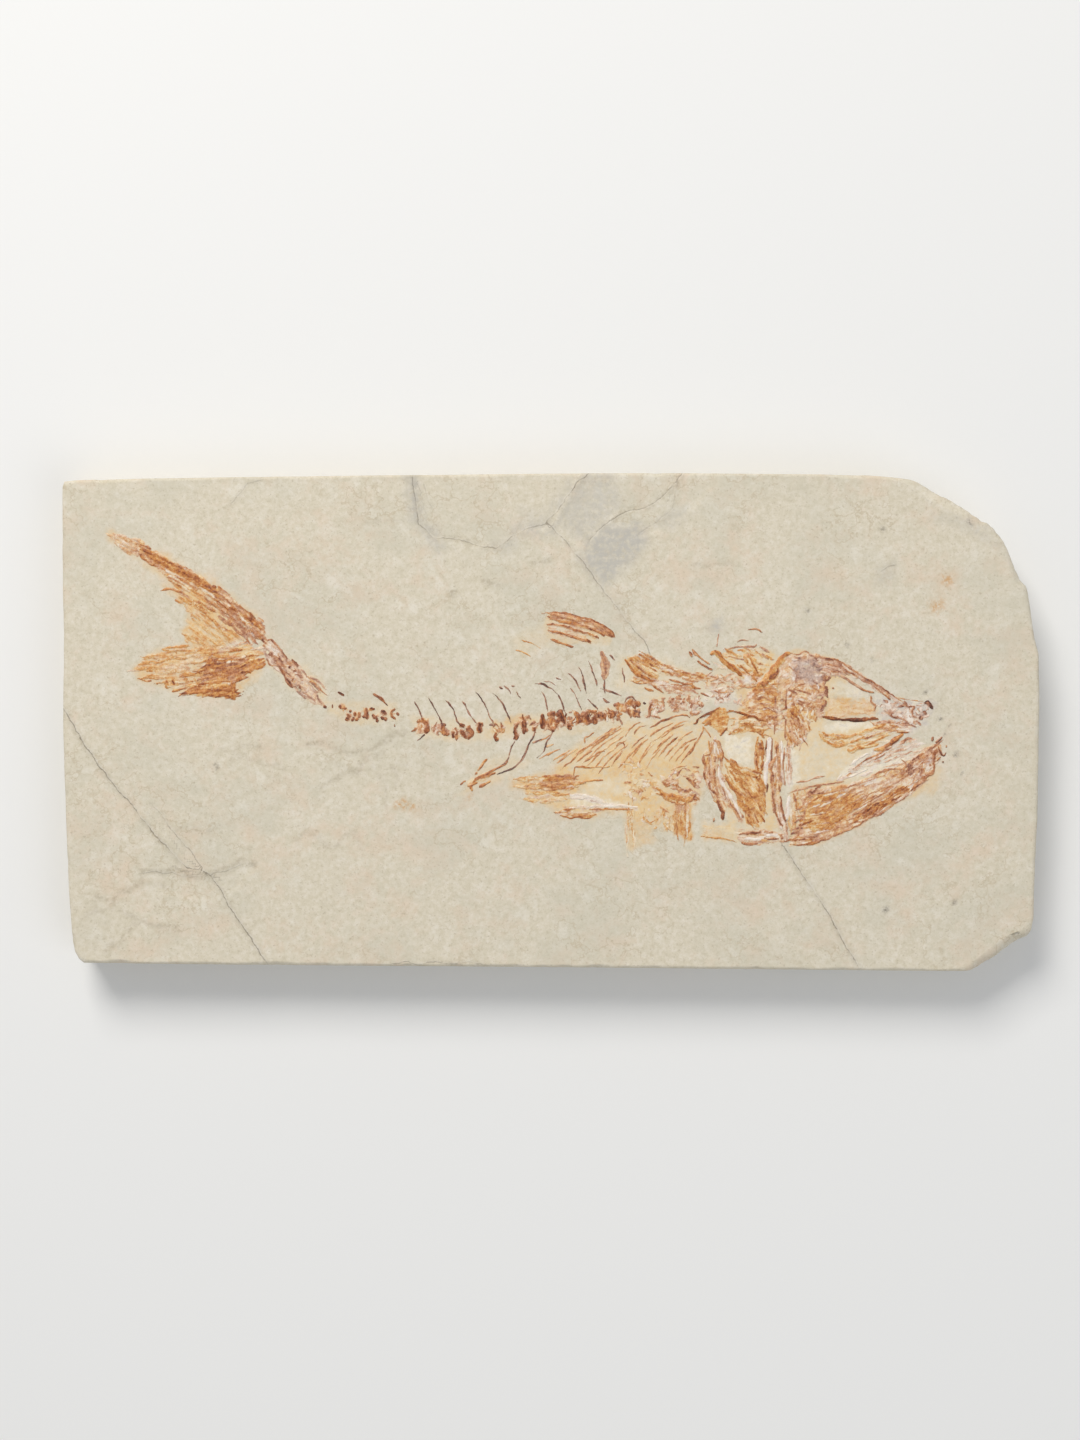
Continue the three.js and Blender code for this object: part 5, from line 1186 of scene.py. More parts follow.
napeBones = {
    "nape_bone_2": {
        "slot": "orange_bone",
        "bones": [
            rods(1.2, 0.36, 0.52, "32.5,13.8 33.7,14.2 34.8,13 36,11.8 37.5,10.8 39,9.5", rosy=-0.4, wear=0.2),
            rods(0.4, 0.3, 0.82, "33.4,14.6 34.6,13.6 35.6,12.6 36.6,11.8"),
        ],
    },
    "nape_bone_3": {
        "slot": "brown_bone", "rosy": 0.4,
        "bones": [
            rods(0.6, 0.24, 0.64, """28.8,15 29.5,13.9 31,12.8 32.5,11.8 | 28.2,14.4 28.9,13.2 | 29.9,12.6
             31.5,11.4 33,10.6"""),
        ],
    },
    "nape_bone_4": {
        "slot": "orange_bone",
        "skins": [
            skin("39.2,13.8 41,13.6 42.3,12.7 42.2,11.2 43.2,9.5 42.2,9 41.1,10.3 40,11.4 39.2,12.4", 0.5,
             0.2, 0.26, 0.04, rosy=-0.6, grain="39.5,13.5 41,11.8 42.5,9.4"),
        ],
        "bones": [
            rods(0.5, 0.22, 0.72, """38.7,11.7 40,10.3 41.5,9 42.2,8.2 | 40.4,13.4 41.6,11.4 42.4,9.8 |
             39.4,13.4 40.4,12"""),
        ],
    },
    "nape_bone_5": {
        "slot": "orange_bone",
        "skins": [
            skin("33,13.4 37,15 42,15.2 45.4,13 45,10.6 42,9 39,8.6 36,10.5 33.5,12", 0.32, 0.2, 0.05, 0.12,
             rosy=-0.3, rough=0.8, fibres=24, scatter=35, palePart=0.2, grain="34,15 39,13.5 45,11.5"),
        ],
        "bones": [
            rods(0.4, 0.2, 0.6, """35.2,14.8 37,15.1 39,15.4 41.5,15.4 42,16 | 34,15.2 34.1,16.8 34.3,18.3 |
             38,16.3 39,16.8 40.5,16.6 | 36,13.4 38.4,13 40,12.6 | 43,14 44.6,12.6 | 42.6,15.4 44.6,14.2""",
             rosy=0.8, bleach=0.2),
        ],
    },
    "nape_bone_6": {
        "slot": "brown_bone", "rosy": 0.5,
        "skins": [
            skin("31,10 34.6,9.6 38,9.8 42,10 43,8 39.5,6.6 35,6.4 31.5,7", 0.28, 0.26, 0.05, 0.1, bleach=0.3,
             rough=0.8, fibres=64, fibreLength=0.8, scatter=60, palePart=0.4, grain="31,8.4 36,8.2 43,8.6"),
        ],
        "bones": [
            rods(0.75, 0.26, 0.7, "32.5,8.3 33.4,8.6 34.4,9.2 | 36.8,8.8 37.2,8.7 | 36,7.2 36.4,7.2"),
            rods(0.4, 0.2, 0.58, """40.2,18.8 42,18.9 43.3,18.2 | 33,6.4 35.4,6 37.4,6.4 | 38.6,7.4 40.4,7
             42,7.4 | 30.6,6 32.4,5.2"""),
        ],
        "stains": [
            stain("40.2,8.5", 0.9, 0.9, 0.6, tone=0.05, bleach=0.9),
        ],
    },
}

for number, (node, design) in enumerate(napeBones.items()):
    layBones(f"nape_splint_{number + 1}", {**design, "nodes": [node]}, 2301 + 40 * number)
print("fins and nape laid")


# Ribs and belly rays: fine rods fanning down and back from the backbone

ribs = {
    "slot": "brown_bone", "rosy": 0.3, "height": 0.15,
    "faint": dict(width=0.4, height=0.11, tone=0.46, rosy=0.0, bleach=0.1, tip=3),
    "rods": [  # width, tone, strong lines, faint lines, and a fan of even ones
        (0.42, 0.56, "-3.8,-4.2 -1.5,-3.6 0,-2.6 | -2.5,-7.6 0,-6.3 2,-5.5 | -1,-5.2 0.6,-4.4", """1,-8.6
         3.4,-6.8 5.6,-5.4 | -0.6,-6.9 1.4,-5.6 | 0.4,-8 2.6,-6.6 4.4,-5.6"""),
        (0.42, 0.6, """2,-9.8 3,-8.9 4.5,-7.8 6,-6 8,-4.9 10,-3.6 12,-2.3 14.5,-0.7 | 7,-4.4 7,-3.3 8,-2.7
         8.8,-2.1""", "", ("4.2,-7.9 7.5,-5 10.5,-2.8 14,-0.6", "6.2,-8.8 9,-6 11.8,-3.8 15,-1.6", 3)),
        (0.38, 0.54, """5,-6.7 6.2,-5.7 7.8,-5 9,-4.6 10.4,-3.5 | 5.2,-8.2 7,-6.9 8.5,-5.8 | 6.5,-8.3 8,-7.4
         9.5,-6.4 11.2,-5.9 | 11,-2.7 12.3,-1.9 13.5,-1.1 | 12,-2.8 13.5,-1.8 14.5,-1.2""", "",
         ("6.8,-9.6 9.4,-7 12,-4.8 15.4,-2.6", "9.6,-10.8 11.4,-8.4 13.4,-6.4 16,-4.4", 3)),
        (0.4, 0.54, """12.2,-9.2 13,-8 14,-6.8 14.8,-5.7 | 13.2,-5 14,-4.2 15,-4.5 15.1,-5.6 | 15.3,-3 16,-1.7
         17,-0.7 18.5,0.1""", "14.6,-8.6 16.4,-6.6 18.4,-4.6 20,-3.4 | 13.6,-9.6 15.2,-7.8 16.6,-6"),
        (0.38, 0.52, "17,-2.6 18,-1.2 19.5,-0.7 | 20.2,-3 21,-2.2 22.3,-1.4 | 16.4,-5.4 18,-3.8 19.6,-2.6",
         "17.6,-9.6 19,-6.4 20.6,-4", ("16.2,-7.8 17.8,-5.6 19.8,-3.4", "19.4,-9.8 20.8,-7.4 22.4,-5.4", 3)),
        (0.48, 0.74, "20.2,-1.2 21.5,-0.5 22.5,0.1 24,0.6 25.5,1.2 27.5,1.4 28.5,0.9",
         "24.4,-1.4 26.4,-0.2 28.4,0.4", ("20.4,-3 22.4,-1.4 25.4,0", "22.4,-3.4 24.4,-1.8 27.4,-0.4", 2)),
        (0.38, 0.56, """20.6,-4.1 22,-3.2 24,-1.7 25.5,-0.9 | 21.8,-5.2 23.5,-3.6 25,-2.5 | 22.5,-6.5 24.2,-4.6
         25.8,-3.2 | 26.5,-5.4 27.6,-4.4 29,-3.6 30,-3.2 | 28.3,-6.8 29,-5.5 29.8,-4 30.6,-3 31.1,-2 31.1,-0.7 |
         31.2,-0.8 32,-2 32.8,-3.3 | 24.5,-9.9 26,-9.3 28,-8.8""", "26,-3.8 27.6,-2.6 29,-1.8",
         ("20.6,-7 22.6,-4.6 25.2,-2.4", "26.4,-8.6 27.8,-6.8 29.4,-4.8", 6)),
    ],
}

for number, (width, tone, lines, faint, *fans) in enumerate(ribs["rods"], 1):
    faint = faint.split("|") if faint else []
    faint += [line for fan in fans for line in fanOf(*fan)]
    layBones(f"rib_rods_{number}", {
        "slot": ribs["slot"], "nodes": [f"rib_{number}"], "rosy": ribs["rosy"],
        "bones": [rods(paths="|".join(faint), **ribs["faint"]), rods(width, ribs["height"], tone, lines)],
    }, 2600 + 11 * number)


# The pelvic bone and the drawn-out streaks of the belly edge

pelvicBone = {
    "slot": "orange_bone", "nodes": ["pelvic_bone"],
    "skins": [
        skin("-2.4,-11.2 1,-10.7 3.5,-10.6 5,-10.9 5,-13.2 3.6,-13.9 1,-13.8 -1.6,-13.9", 0.43, 0.2, 0.1,
         0.04, rosy=0.2, rough=0.5, fibres=22, fibreLength=1.8, scatter=4, palePart=0.1),
        skin("-6,-11.4 -2,-11 -1.6,-14 -4,-14.4 -6.2,-14", 0.28, 0.16, 0.035, 0.1, rough=0.8, fibres=16,
         scatter=4, palePart=0.1),
        skin("-5.4,-14.4 0,-14.2 4,-14.2 3.4,-16 -1,-16.6 -5.8,-16.2", 0.2, 0.16, 0.03, 0.11, rough=0.8,
         fibres=14, fibreLength=2, scatter=4, palePart=0.2),
        skin("""3.8,-14.8 6,-14.6 9,-15.1 11.8,-16.4 15,-17.2 20.4,-17.5 20.4,-18.1 14,-18 10,-17 7,-15.9
         4,-15.8""", 0.12, 0.16, 0.06, 0.06, rosy=0.9, bleach=0.55, fibres=7, scatter=3, palePart=0.9,
         grain="3,-15.2 8,-15.4 12,-16.8 20,-17.8"),
        skin("2.4,-17 6,-17 10,-17.6 12,-18.2 9.6,-18.6 5,-18.4 2,-18", 0.24, 0.16, 0.035, 0.1, rosy=0.9,
         bleach=0.2, fibres=8, scatter=5, palePart=0.4),
        skin("2,-17.8 4,-18.5 8,-18.3 10,-18.6 9.6,-19.4 5,-19.8 2,-19", 0.36, 0.16, 0.05, 0.09, fibres=10,
         scatter=4, palePart=0.1),
    ],
    "bones": [
        rods(0.42, 0.18, 0.6, """4.9,-12.2 4.8,-11 4.9,-9.2 | 4.9,-9.2 6.3,-9.2 8,-9.3 12,-9.2 | 6,-12.5 7.5,-12
         10.8,-11.9 | 1.8,-19 4,-19.6 6,-19.3 9,-19 | 2.5,-18 5,-17.7 | 8,-18 12,-17.8 17,-18 | 0,-12.3
         2.4,-11.7 4.2,-11.6 | -0.4,-13.4 2,-13.2 4.2,-12.8"""),
        rods(0.6, 0.16, 0.1, "4,-15 6,-14.8 8,-15.3 10,-16 12,-17 | 8,-17.2 13,-17.2 18,-17.3", bleach=0.8),
    ],
    "stains": [
        stain("-1,-12 2.6,-11.8 2.4,-13.4 -0.6,-13.4", 0, 0.7, 0.7, tone=0.56, rosy=0.3),
        stain("3.5,-18.6", 0.4, 0.7, 0.4, tone=0.75),
    ],
}

layBones("pelvic_plate", pelvicBone, 2701)


# The pectoral fin: a mottled plate with its blades drawn down behind the gill cover

pectoralFin = {
    "slot": "orange_bone", "nodes": ["pectoral_fin"], "rosy": 0.35,
    "skins": [
        skin("""22.2,-12.6 22.8,-11 24.6,-10.4 25.8,-8.8 28,-9.6 29.4,-8.2 30.6,-10 30.4,-14 30.2,-18 29,-16
         27,-14.8 24.4,-14.4""", 0.46, 0.34, 0.07, 0.12, rosy=0.6, rough=1.1, mottle=0.8, fibres=34,
         fibreLength=0.7, scatter=60, palePart=0.1),
        skin("14.6,-8 17.4,-7.4 20,-10 22.4,-12 22,-15 18.6,-16.2 15,-15.2", 0.28, 0.3, 0.045, 0.14, rosy=0.1,
         rough=0.9, mottle=0.8, fibres=40, fibreLength=0.6, scatter=90, palePart=0.3),
        skin("24.9,-16.2 28.5,-16.3 28.7,-24.4 27.6,-24.2 26.6,-23.2 25,-23.2", 0.36, 0.26, 0.06, 0.08,
         rosy=-0.1, fibres=26, fibreLength=1.8, scatter=4, palePart=0.2, grain=90),
        skin("17.6,-18 24.8,-17 24.8,-22.4 22.4,-22.6 20.4,-21 18,-20", 0.26, 0.16, 0.035, 0.12, rosy=-0.1,
         rough=0.9, fibres=26, fibreLength=0.8, scatter=70, palePart=0.2, grain=90),
        skin("14.9,-17.4 17,-17.4 17.2,-24 16.6,-26.2 15.4,-25.8 15,-21", 0.22, 0.16, 0.025, 0.1, rosy=0.2,
         fibres=10, fibreLength=1.8, scatter=4, palePart=0.3, grain=90),
    ],
    "bones": [
        rods(1.4, 0.18, 0.54, "21.8,-13.3 23.2,-14.7 25.2,-15.7 27.4,-15.9 29.4,-15.4", rosy=-0.3, rough=0.6,
         tip=2),
        rods(0.4, 0.22, 0.7, "23.2,-15.2 25.4,-16.6 27.6,-16.6", rosy=0.3, rough=0.4),
        rods(0.45, 0.18, 0.7, """28.2,-16.4 28.9,-15.8 29.6,-14.8 | 27.6,-11.4 28.8,-12.2 29.4,-13.4 |
         23.4,-12.6 24.4,-13.2"""),
    ],
    "stains": [
        stain("25,-16.8 28.4,-16.9 28.3,-18.6 25.2,-18.2", 0, 0.6, 0.5, tone=0.48, rosy=1.0),
    ],
}

layBones("pectoral_plate", pectoralFin, 2801)
print("belly laid")


# The shoulder bone: a long pale strut with dark edges behind the gill cover

shoulderBone = {
    "slot": "brown_bone", "nodes": ["shoulder_bone"], "rosy": 0.6,
    "skins": [
        skin("""31.2,-6.4 33.2,-3.6 34.4,-3.9 35.3,-6.2 35.2,-8.6 34.9,-12 36.6,-14.6 39.3,-19.4 39.4,-20.8
         38.4,-20.4 36.4,-17.2 35.4,-19.8 34.7,-20 34.6,-17.6 33,-15.8 31.4,-13 31.1,-9.4""", 0.34, 0.26, 0.08,
         0.07, fibres=34, scatter=12, grain="33,-3.6 33.2,-10 35,-15.4 39,-20.6"),
        skin("31,-20.4 34,-20.2 37.2,-21.5 38.6,-24 35,-23.8 31,-23.4", 0.22, 0.2, 0.03, 0.1, rosy=0.0,
         grain="31,-22 38,-23.4"),
    ],
    "bones": [
        rods(0.55, 0.22, 0.66, """33.2,-3.6 34.3,-4.2 34.7,-5.2 35.1,-6.5 34.9,-8 | 33,-4 32.5,-6.5 31.3,-7 |
         33.5,-7 33.5,-8.3 | 33.4,-9.5 33.4,-11.3 33.7,-12.6 | 31.3,-6.5 31.2,-8 31.6,-9.2 31.3,-10.5 31.5,-11.8
         | 32.4,-12 32.6,-13.5 34.5,-15.5 | 36.7,-16.5 37.3,-17.4 38.3,-18.3 39,-20.3"""),
        rods(0.85, 0.26, 0.74, """33.8,-15.8 34.4,-16.6 34.8,-17.8 35.2,-18.5 35.1,-20 | 33.1,-20
         33.4,-20.1"""),
        rods(0.8, 0.2, 0.12, "34.3,-9 34.5,-11.5 36,-14 37.5,-16.5 39,-19.5", bleach=0.75),
        rods(0.35, 0.16, 0.5, "30.5,-23.3 33,-23.7 35.5,-23.9 38,-24.6 | 32.2,-3.8 32.5,-6.5", rosy=0.0),
    ],
    "stains": [
        stain("32.3,-7.7", 0.35, 0.7, 0.3, tone=0.75),
        stain("34.8,-7.8", 0.3, 0.7, 0.3, tone=0.75),
    ],
}

layBones("shoulder_strut", shoulderBone, 2901)


# The gill cover: a dark upper rim with orange plates under it

gillRim = {
    "slot": "orange_bone", "nodes": ["gill_cover_rim"],
    "skins": [
        skin("31.4,6.2 33.6,6.8 36.4,6.2 39,5.2 39,3.6 36.6,3.3 34,3.6 31.6,4", 0.4, 0.3, 0.05, 0.12, rosy=1.0,
         bleach=0.65, rough=0.9, mottle=0.8, fibres=38, fibreLength=0.5, scatter=90, palePart=0.6),
        skin("31,0.2 32.8,1.8 34.6,3 36,2.7 36.6,0.5 36.1,-1.2 34.8,-2.7 33.3,-1.2", 0.44, 0.22, 0.14, 0.03,
         rosy=-0.5, fibres=5, scatter=30, palePart=0.1, grain="31,0 34,1 36.5,1"),
        skin("38.4,1.6 41,0.9 43.8,0.2 44,-1 43.4,-3 42.4,-2 40.5,-1.9 38.5,-2.5 36,-2.4 37,-1", 0.36, 0.24,
         0.08, 0.07, rosy=-0.3, fibres=24, scatter=30, palePart=0.2, grain="36,-1.4 40,-0.6 44,-1"),
    ],
    "bones": [
        rods(0.5, 0.28, 0.84, """29,-0.4 29.7,-0.2 30,0.4 30.6,1 31.5,1.4 33,2 34.5,3 | 36.3,2.5 37.3,2.2
         38.3,1.9 39.5,1.6 40.8,1.2 41.8,1 42.6,0.4 44,0.1 | 36,-1.2 35.3,-1.9 34.6,-2.8"""),
        rods(0.42, 0.18, 0.6, """36.5,-2.2 37.6,-2.2 | 40.8,-1.8 42,-1.9 | 43.4,-1 43.2,-2.8 43.8,-3.3 |
         38.6,-0.4 40.8,-0.6 | 34.4,2.4 36,1.6"""),
    ],
    "stains": [
        stain("35,1.5", 0.7, 0.8, 0.5, tone=0.42),
        stain("35.3,-0.3", 0.4, 0.8, 0.4, tone=0.62),
        stain("33.5,-0.2", 0.5, 0.8, 0.4, tone=0.18),
        stain("38,1 38,-1", 0.35, 0.9, 0.3, tone=0.12, bleach=0.4),
    ],
}

layBones("gill_rim_plates", gillRim, 3001)


# The gill cover below its rim: bands and a crumbled lower part

gillCover = {
    "slot": "orange_bone", "nodes": ["gill_cover"],
    "skins": [
        skin("41.8,-4.6 43.4,-4.4 44,-6 43.6,-7.5 43.2,-10 43.2,-13 42.4,-14.6 41.9,-12 41.6,-9 41.6,-6",
         0.5, 0.22, 0.14, 0.05, rosy=-0.3, fibres=12, palePart=0.2, grain=92),
        skin("""35.9,-7.4 37,-7.7 38.4,-8.5 39.5,-9.2 41.2,-9.4 42.8,-10.2 42.4,-11.6 40.6,-11.2 38.6,-10.8
         37.2,-9.6""", 0.5, 0.2, 0.13, 0.05, rosy=-0.3, fibres=10, grain="36,-7.8 39,-10 42.6,-11"),
        skin("35.8,-11 37.6,-11.5 39.3,-12.8 41,-13.8 42,-14.9 40.4,-15.4 38.6,-14.6 37,-13.2", 0.56, 0.2,
         0.15, 0.04, rosy=-0.3, fibres=10, palePart=0.1, grain="36,-11.2 39,-13.4 42,-15"),
        skin("""35.8,-7.8 37.6,-9 39.6,-10.4 41.8,-11.6 43.4,-11.4 43.9,-15 43.9,-19 42.8,-21.9 40.4,-21.2
         38.9,-17.6 37,-13.6 35.9,-10""", 0.4, 0.3, 0.12, 0.04, rosy=-0.5, rough=0.6, fibres=34, scatter=16,
         palePart=0.1, grain="36.4,-11.6 39.6,-16 43,-22"),
    ],
    "bones": [
        rods(0.5, 0.22, 0.74, """42.1,-6 42.2,-8.5 42.2,-10 | 42.6,-13 42.6,-14.4 | 41.2,-11.2 42.4,-11.2 |
         35.5,-11.4 36.3,-12.6 37,-13.4 37.6,-14 39,-15 | 36.6,-8.4 38,-9.8 39.6,-10.8"""),
        rods(0.45, 0.2, 0.66, """43.4,-8 43.2,-10 | 38.3,-14.8 38.7,-14.8 | 41,-15.3 42.5,-15.5 | 38.8,-16.3
         39.3,-16.4 | 40.6,-18.2 41.8,-17.4 | 40.3,-20.8 40.8,-20.8 | 39.4,-17.6 40.6,-19.4 | 41.6,-18.8
         42.6,-20.6 | 42.4,-16.4 43,-18.4""", rosy=0.4),
    ],
    "stains": [
        stain("43.3,-6.3", 0.4, 0.8, 0.4, tone=0.66),
        stain("37.3,-9", 0.4, 0.8, 0.4, tone=0.48),
    ],
}

layBones("gill_cover_bands", gillCover, 3101)


# The throat: slivers along the lower edge of the gill cover

throatBone = {
    "slot": "brown_bone", "nodes": ["throat_bone"], "rosy": 0.5,
    "skins": [
        skin("38,-22.2 40,-21.9 43,-21.8 46,-22 48,-23.2 47.4,-25 44,-25 41,-25.4 38.6,-25", 0.24, 0.26,
         0.05, 0.08, bleach=0.35, rough=0.5, fibres=16, palePart=0.6, grain="38,-23.4 43,-23.4 48,-24"),
    ],
    "bones": [
        rods(0.7, 0.26, 0.78, "38.5,-23 39.5,-22.7 41.5,-22.7 43,-22.4 | 43.4,-23.7 45,-24 46.6,-23.8"),
        rods(0.6, 0.22, 0.66, "39,-24.5 40,-24.9 42.3,-24.9 | 43.6,-22.4 45.5,-22.6 | 47,-22.8 47.4,-24"),
        rods(0.7, 0.18, 0.1, "39.6,-23.8 43,-23.9 | 44,-23.2 46.4,-23", bleach=0.9),
    ],
    "stains": [
        stain("48.2,-24.2", 0.4, 0.9, 0.3, tone=0.9, rosy=1.0),
    ],
}

layBones("throat_slivers", throatBone, 3201)


# The two upright struts of the cheek, the first bleached

whiteStrut = {
    "slot": "pale_bone", "nodes": ["white_strut"], "rosy": 0.8,
    "bones": [
        rods(1.1, 0.28, 0.06, "44.7,-3 44.5,-7.5 44,-9 43.9,-13", bleach=0.9, tip=12),
        rods(0.4, 0.3, 0.7, "45.2,-3 45.1,-7.4 44.6,-9 | 44.3,-12.5 44.2,-14.3 | 44.1,-3.6 43.9,-7"),
    ],
}

layBones("white_cheek_strut", whiteStrut, 3301)

cheekBone = {
    "slot": "brown_bone", "nodes": ["cheek_bone"], "rosy": 0.6,
    "skins": [
        skin("""45.8,-4 47,-4.2 47.6,-8 47.5,-12 46.6,-15 47.6,-19 48.6,-23 47,-23 45.4,-18.4 45,-15 44.9,-11
         45.4,-8""", 0.36, 0.26, 0.09, 0.06, fibres=26, grain=94),
        skin("48,-4.6 49,-5 49.4,-11 48.8,-14 48,-12", 0.18, 0.2, 0.05, 0.08, bleach=0.3, fibres=14, grain=92),
        skin("49.4,-14 52.4,-14 52,-17 50.6,-19.6 49.4,-23 48.2,-22 48,-18 48.6,-15", 0.2, 0.26, 0.05, 0.08,
         rosy=0.1, bleach=0.2, fibres=16, scatter=12, grain=100),
    ],
    "bones": [
        rods(1.0, 0.3, 0.6, "46.2,-6.8 45.5,-8 44.8,-9 44.9,-10 45.3,-10.5 45.2,-12.2 45.6,-15"),
        rods(0.45, 0.24, 0.7, """46.6,-12.8 46.9,-14.2 | 46.3,-4.5 45.9,-6.5 | 46.3,-8 46.8,-12 | 45.5,-15.5
         45.8,-18 46.5,-20 47.5,-21.5 | 46.9,-15 47.2,-18 48,-20.6"""),
        rods(0.8, 0.24, 0.14, "47.2,-3.6 47.2,-8 47.5,-12.6 | 48.6,-15 48.2,-20", bleach=0.8, tip=9, wear=0.2),
        rods(0.35, 0.16, 0.56, "47.8,-5 47.5,-9 47.8,-13 | 48.5,-6.5 48.6,-10 | 49.6,-14.6 50.4,-18"),
    ],
}

layBones("brown_cheek_strut", cheekBone, 3401)


# The skull: thick rear crest, grey and mottled vault, orbit ring with a dark bar under it

skull = {
    "slot": "brown_bone", "nodes": ["skull"], "rosy": 0.6, "step": 0.16,
    "skins": [
        skin("""39,3.4 40,6 42.4,7.6 45,10 47.4,13 49,14.2 50.6,14 52,14.8 53.2,13.9 55,13.6 58,13 61,11.3
         63,9.7 61.6,9.2 59,9.4 57.4,9.2 56.3,7.6 56.3,4 55.8,2 55,0.6 53,0.4 52.6,-3 51.6,-5.2 48.6,-5.2
         47.6,-2.6 45,-1.4 42.6,0 40,1.6""", 0.32, 0.26, 0.1, 0.09, rough=0.7, mottle=0.6, fibres=70,
         fibreLength=0.9, scatter=60, palePart=0.5, grain="40,2 46,5.4 52,9 60,11.4"),
        skin("39.4,2.6 42,6.8 44.6,8.4 47.4,7.4 47.6,3 47,-2 44.6,-1 42,0.6", 0.46, 0.3, 0.1, 0.08, rosy=0.2,
         rough=0.9, mottle=0.6, fibres=44, fibreLength=0.9, scatter=50, grain="40,3 44,4 47.6,3.4"),
        skin("48.3,7.6 52,8 55.4,7.6 56,5 55.4,1.6 52.6,1.4 50,2 48.4,3.4", 0.36, 0.3, 0.1, 0.08, rosy=0.4,
         bleach=0.1, rough=0.9, mottle=0.7, fibres=44, fibreLength=0.7, scatter=80, grain="48,5.6 56,4.6"),
        skin("""48.3,2.4 49.6,2.9 51.2,2.3 53,2.6 55,1.4 54,0.4 52.6,0 53,-1.6 52,-2.6 52.4,-3.9 51.2,-4.3
         50.6,-5.6 49.5,-4.4 48.7,-5.5 48,-3.2 48.5,-1""", 0.42, 0.26, 0.13, 0.06, rosy=0.2, rough=0.9,
         mottle=0.6, fibres=34, fibreLength=0.9, scatter=35, grain=105),
        skin("48.8,11.6 50,13.2 52.4,13.4 54.8,12.8 57.4,11.4 57.4,9.8 55.6,8 53,7.4 50.6,8.2 49.2,9.6",
         0.52, 0.34, 0.12, 0.07, rosy=1.0, bleach=0.5, rough=0.9, mottle=0.9, fibres=46, fibreLength=0.55,
         scatter=90, palePart=0.25),
        skin("55,13.4 58,13 61,11.3 63.2,9.6 61.5,9.6 59,9.8 57,9.6 55.2,10.4", 0.46, 0.24, 0.14, 0.05,
         rosy=0.8, fibres=18, grain="55,12.2 59,11.6 63,9.6"),
        skin("60,12 64,9.3 68,7 72,4.2 71.4,3.8 67.4,6 63.6,8.6 60.6,10.6", 0.3, 0.24, 0.09, 0.06, rosy=0.8,
         fibres=16, grain="60,11.6 66,7.8 72,4"),
        skin("56.6,1 66.4,1 66.6,3 65.4,5 62,4.2 59,4.4 56.8,5", 0.3, 0.16, 0.04, 0.05, rosy=0.1,
         grain="56.6,3 61,3.4 66.6,2.4"),
    ],
    "bones": [
        rods(1.6, 0.3, 0.5, "42.2,7.2 44,8.5 45,9.7 46,11.2 47,12.5 48,13.7 49,14", rosy=-0.4, wear=0.2),
        rods(0.9, 0.36, 0.78, "44.6,8.6 46.2,10 46.5,11.2 | 48,13.4 48.5,13.7 | 43,7.4 44.4,8.2", rosy=0.2),
        rods(0.45, 0.24, 0.72, """49,14 50.5,13.8 52,14.5 53,13.6 54.5,13.3 56.5,12.8 58,12.8 59.5,12.1 61,11
         62.5,10 64,9 66,8 68,6.7 70,5.3 72,4 | 60,10.5 62,9.7 63,9.2 | 64,8.5 67,6.5 69.5,4.5"""),
        rods(0.4, 0.18, 0.66, """50,12.6 52.4,12.2 54,11.2 | 50.6,10.8 52.4,10.4 54.6,10.2 | 51,9.2 53,8.8 |
         48.6,11.4 50,10.2 51,8.6 | 49.6,6.6 51.6,6.2 53.4,5.4 | 50.4,4.4 52,3.8 | 53.4,7.4 54.8,6.2 | 48.8,1
         50.2,0.2 51,-1.4 | 49.6,-2 50.6,-3.6 | 41.4,4.6 43.4,5 45,4.4 | 42,2.6 44,2.8 46,2 | 43,6.6 45,6.8 |
         45.4,0.6 46.6,-0.6 | 56.4,11.8 59,11.2 61.4,10 | 51.4,-0.4 52,-2.6 | 44.2,1.2 45.6,1 | 45.9,5.4
         45.8,2.6 | 45.9,0.8 45.6,-2.6 | 48.2,6.4 48,4 48.2,2.4 | 48,0.6 47.8,-3.6"""),
        rods(0.85, 0.3, 0.78, """57.4,10 56.8,9.2 56.3,8.2 | 56,7.6 56.4,6.4 56.6,5.2 | 56.3,4.4 55.8,3.2
         55.2,2.4""", rosy=0.8, rough=0.45, wear=0.7),
        rods(0.5, 0.26, 0.72, """57.2,9.5 59,9.6 60.5,8.7 62,7.7 63.2,6.9 64.5,6.3 66,6 | 65.3,5.2 65.7,4
         66.3,3.3 66,2 | 57.5,6.9 57.9,6.9"""),
        rods(0.75, 0.34, 0.92, "55.5,1.1 57.5,0.7 60,0.45 62.5,0.45 65,0.6 67,0.7", rosy=0.2, tip=8),
    ],
    "stains": [
        stain("50,12.6 53,13 55,11 55.4,8.6 52.4,8 50,9.4", 0, 0.9, 0.9, tone=0.52, rosy=0.9, bleach=0.75),
        stain("51.6,12 52.6,11.8", 0.25, 0.8, 0.5, tone=0.1, bleach=1.0),
        stain("54.3,9.5", 0.25, 0.8, 0.5, tone=0.1, bleach=1.0),
        stain("56.9,9.2 56.2,7.6 56.5,5.6 56.1,4", 0.4, 0.6, 0.7, tone=0.8, rosy=0.9),
        stain("50,10.6 51,9.4", 0.3, 0.7, 0.4, tone=0.8),
        stain("53.6,11.8 54.6,11", 0.3, 0.7, 0.4, tone=0.8),
        stain("47.4,7 46.8,3 46.9,0 46.5,-3", 0.55, 0.75, 0.7, tone=0.2, bleach=0.5),
        stain("47.2,4.4", 0.3, 0.9, 0.3, tone=0.95),
        stain("57,9.6 60,9.2 63,7", 0.5, 0.4, 0.4, tone=0.2, bleach=0.6),
    ],
}

layBones("skull_roof_and_orbit", skull, 3501)


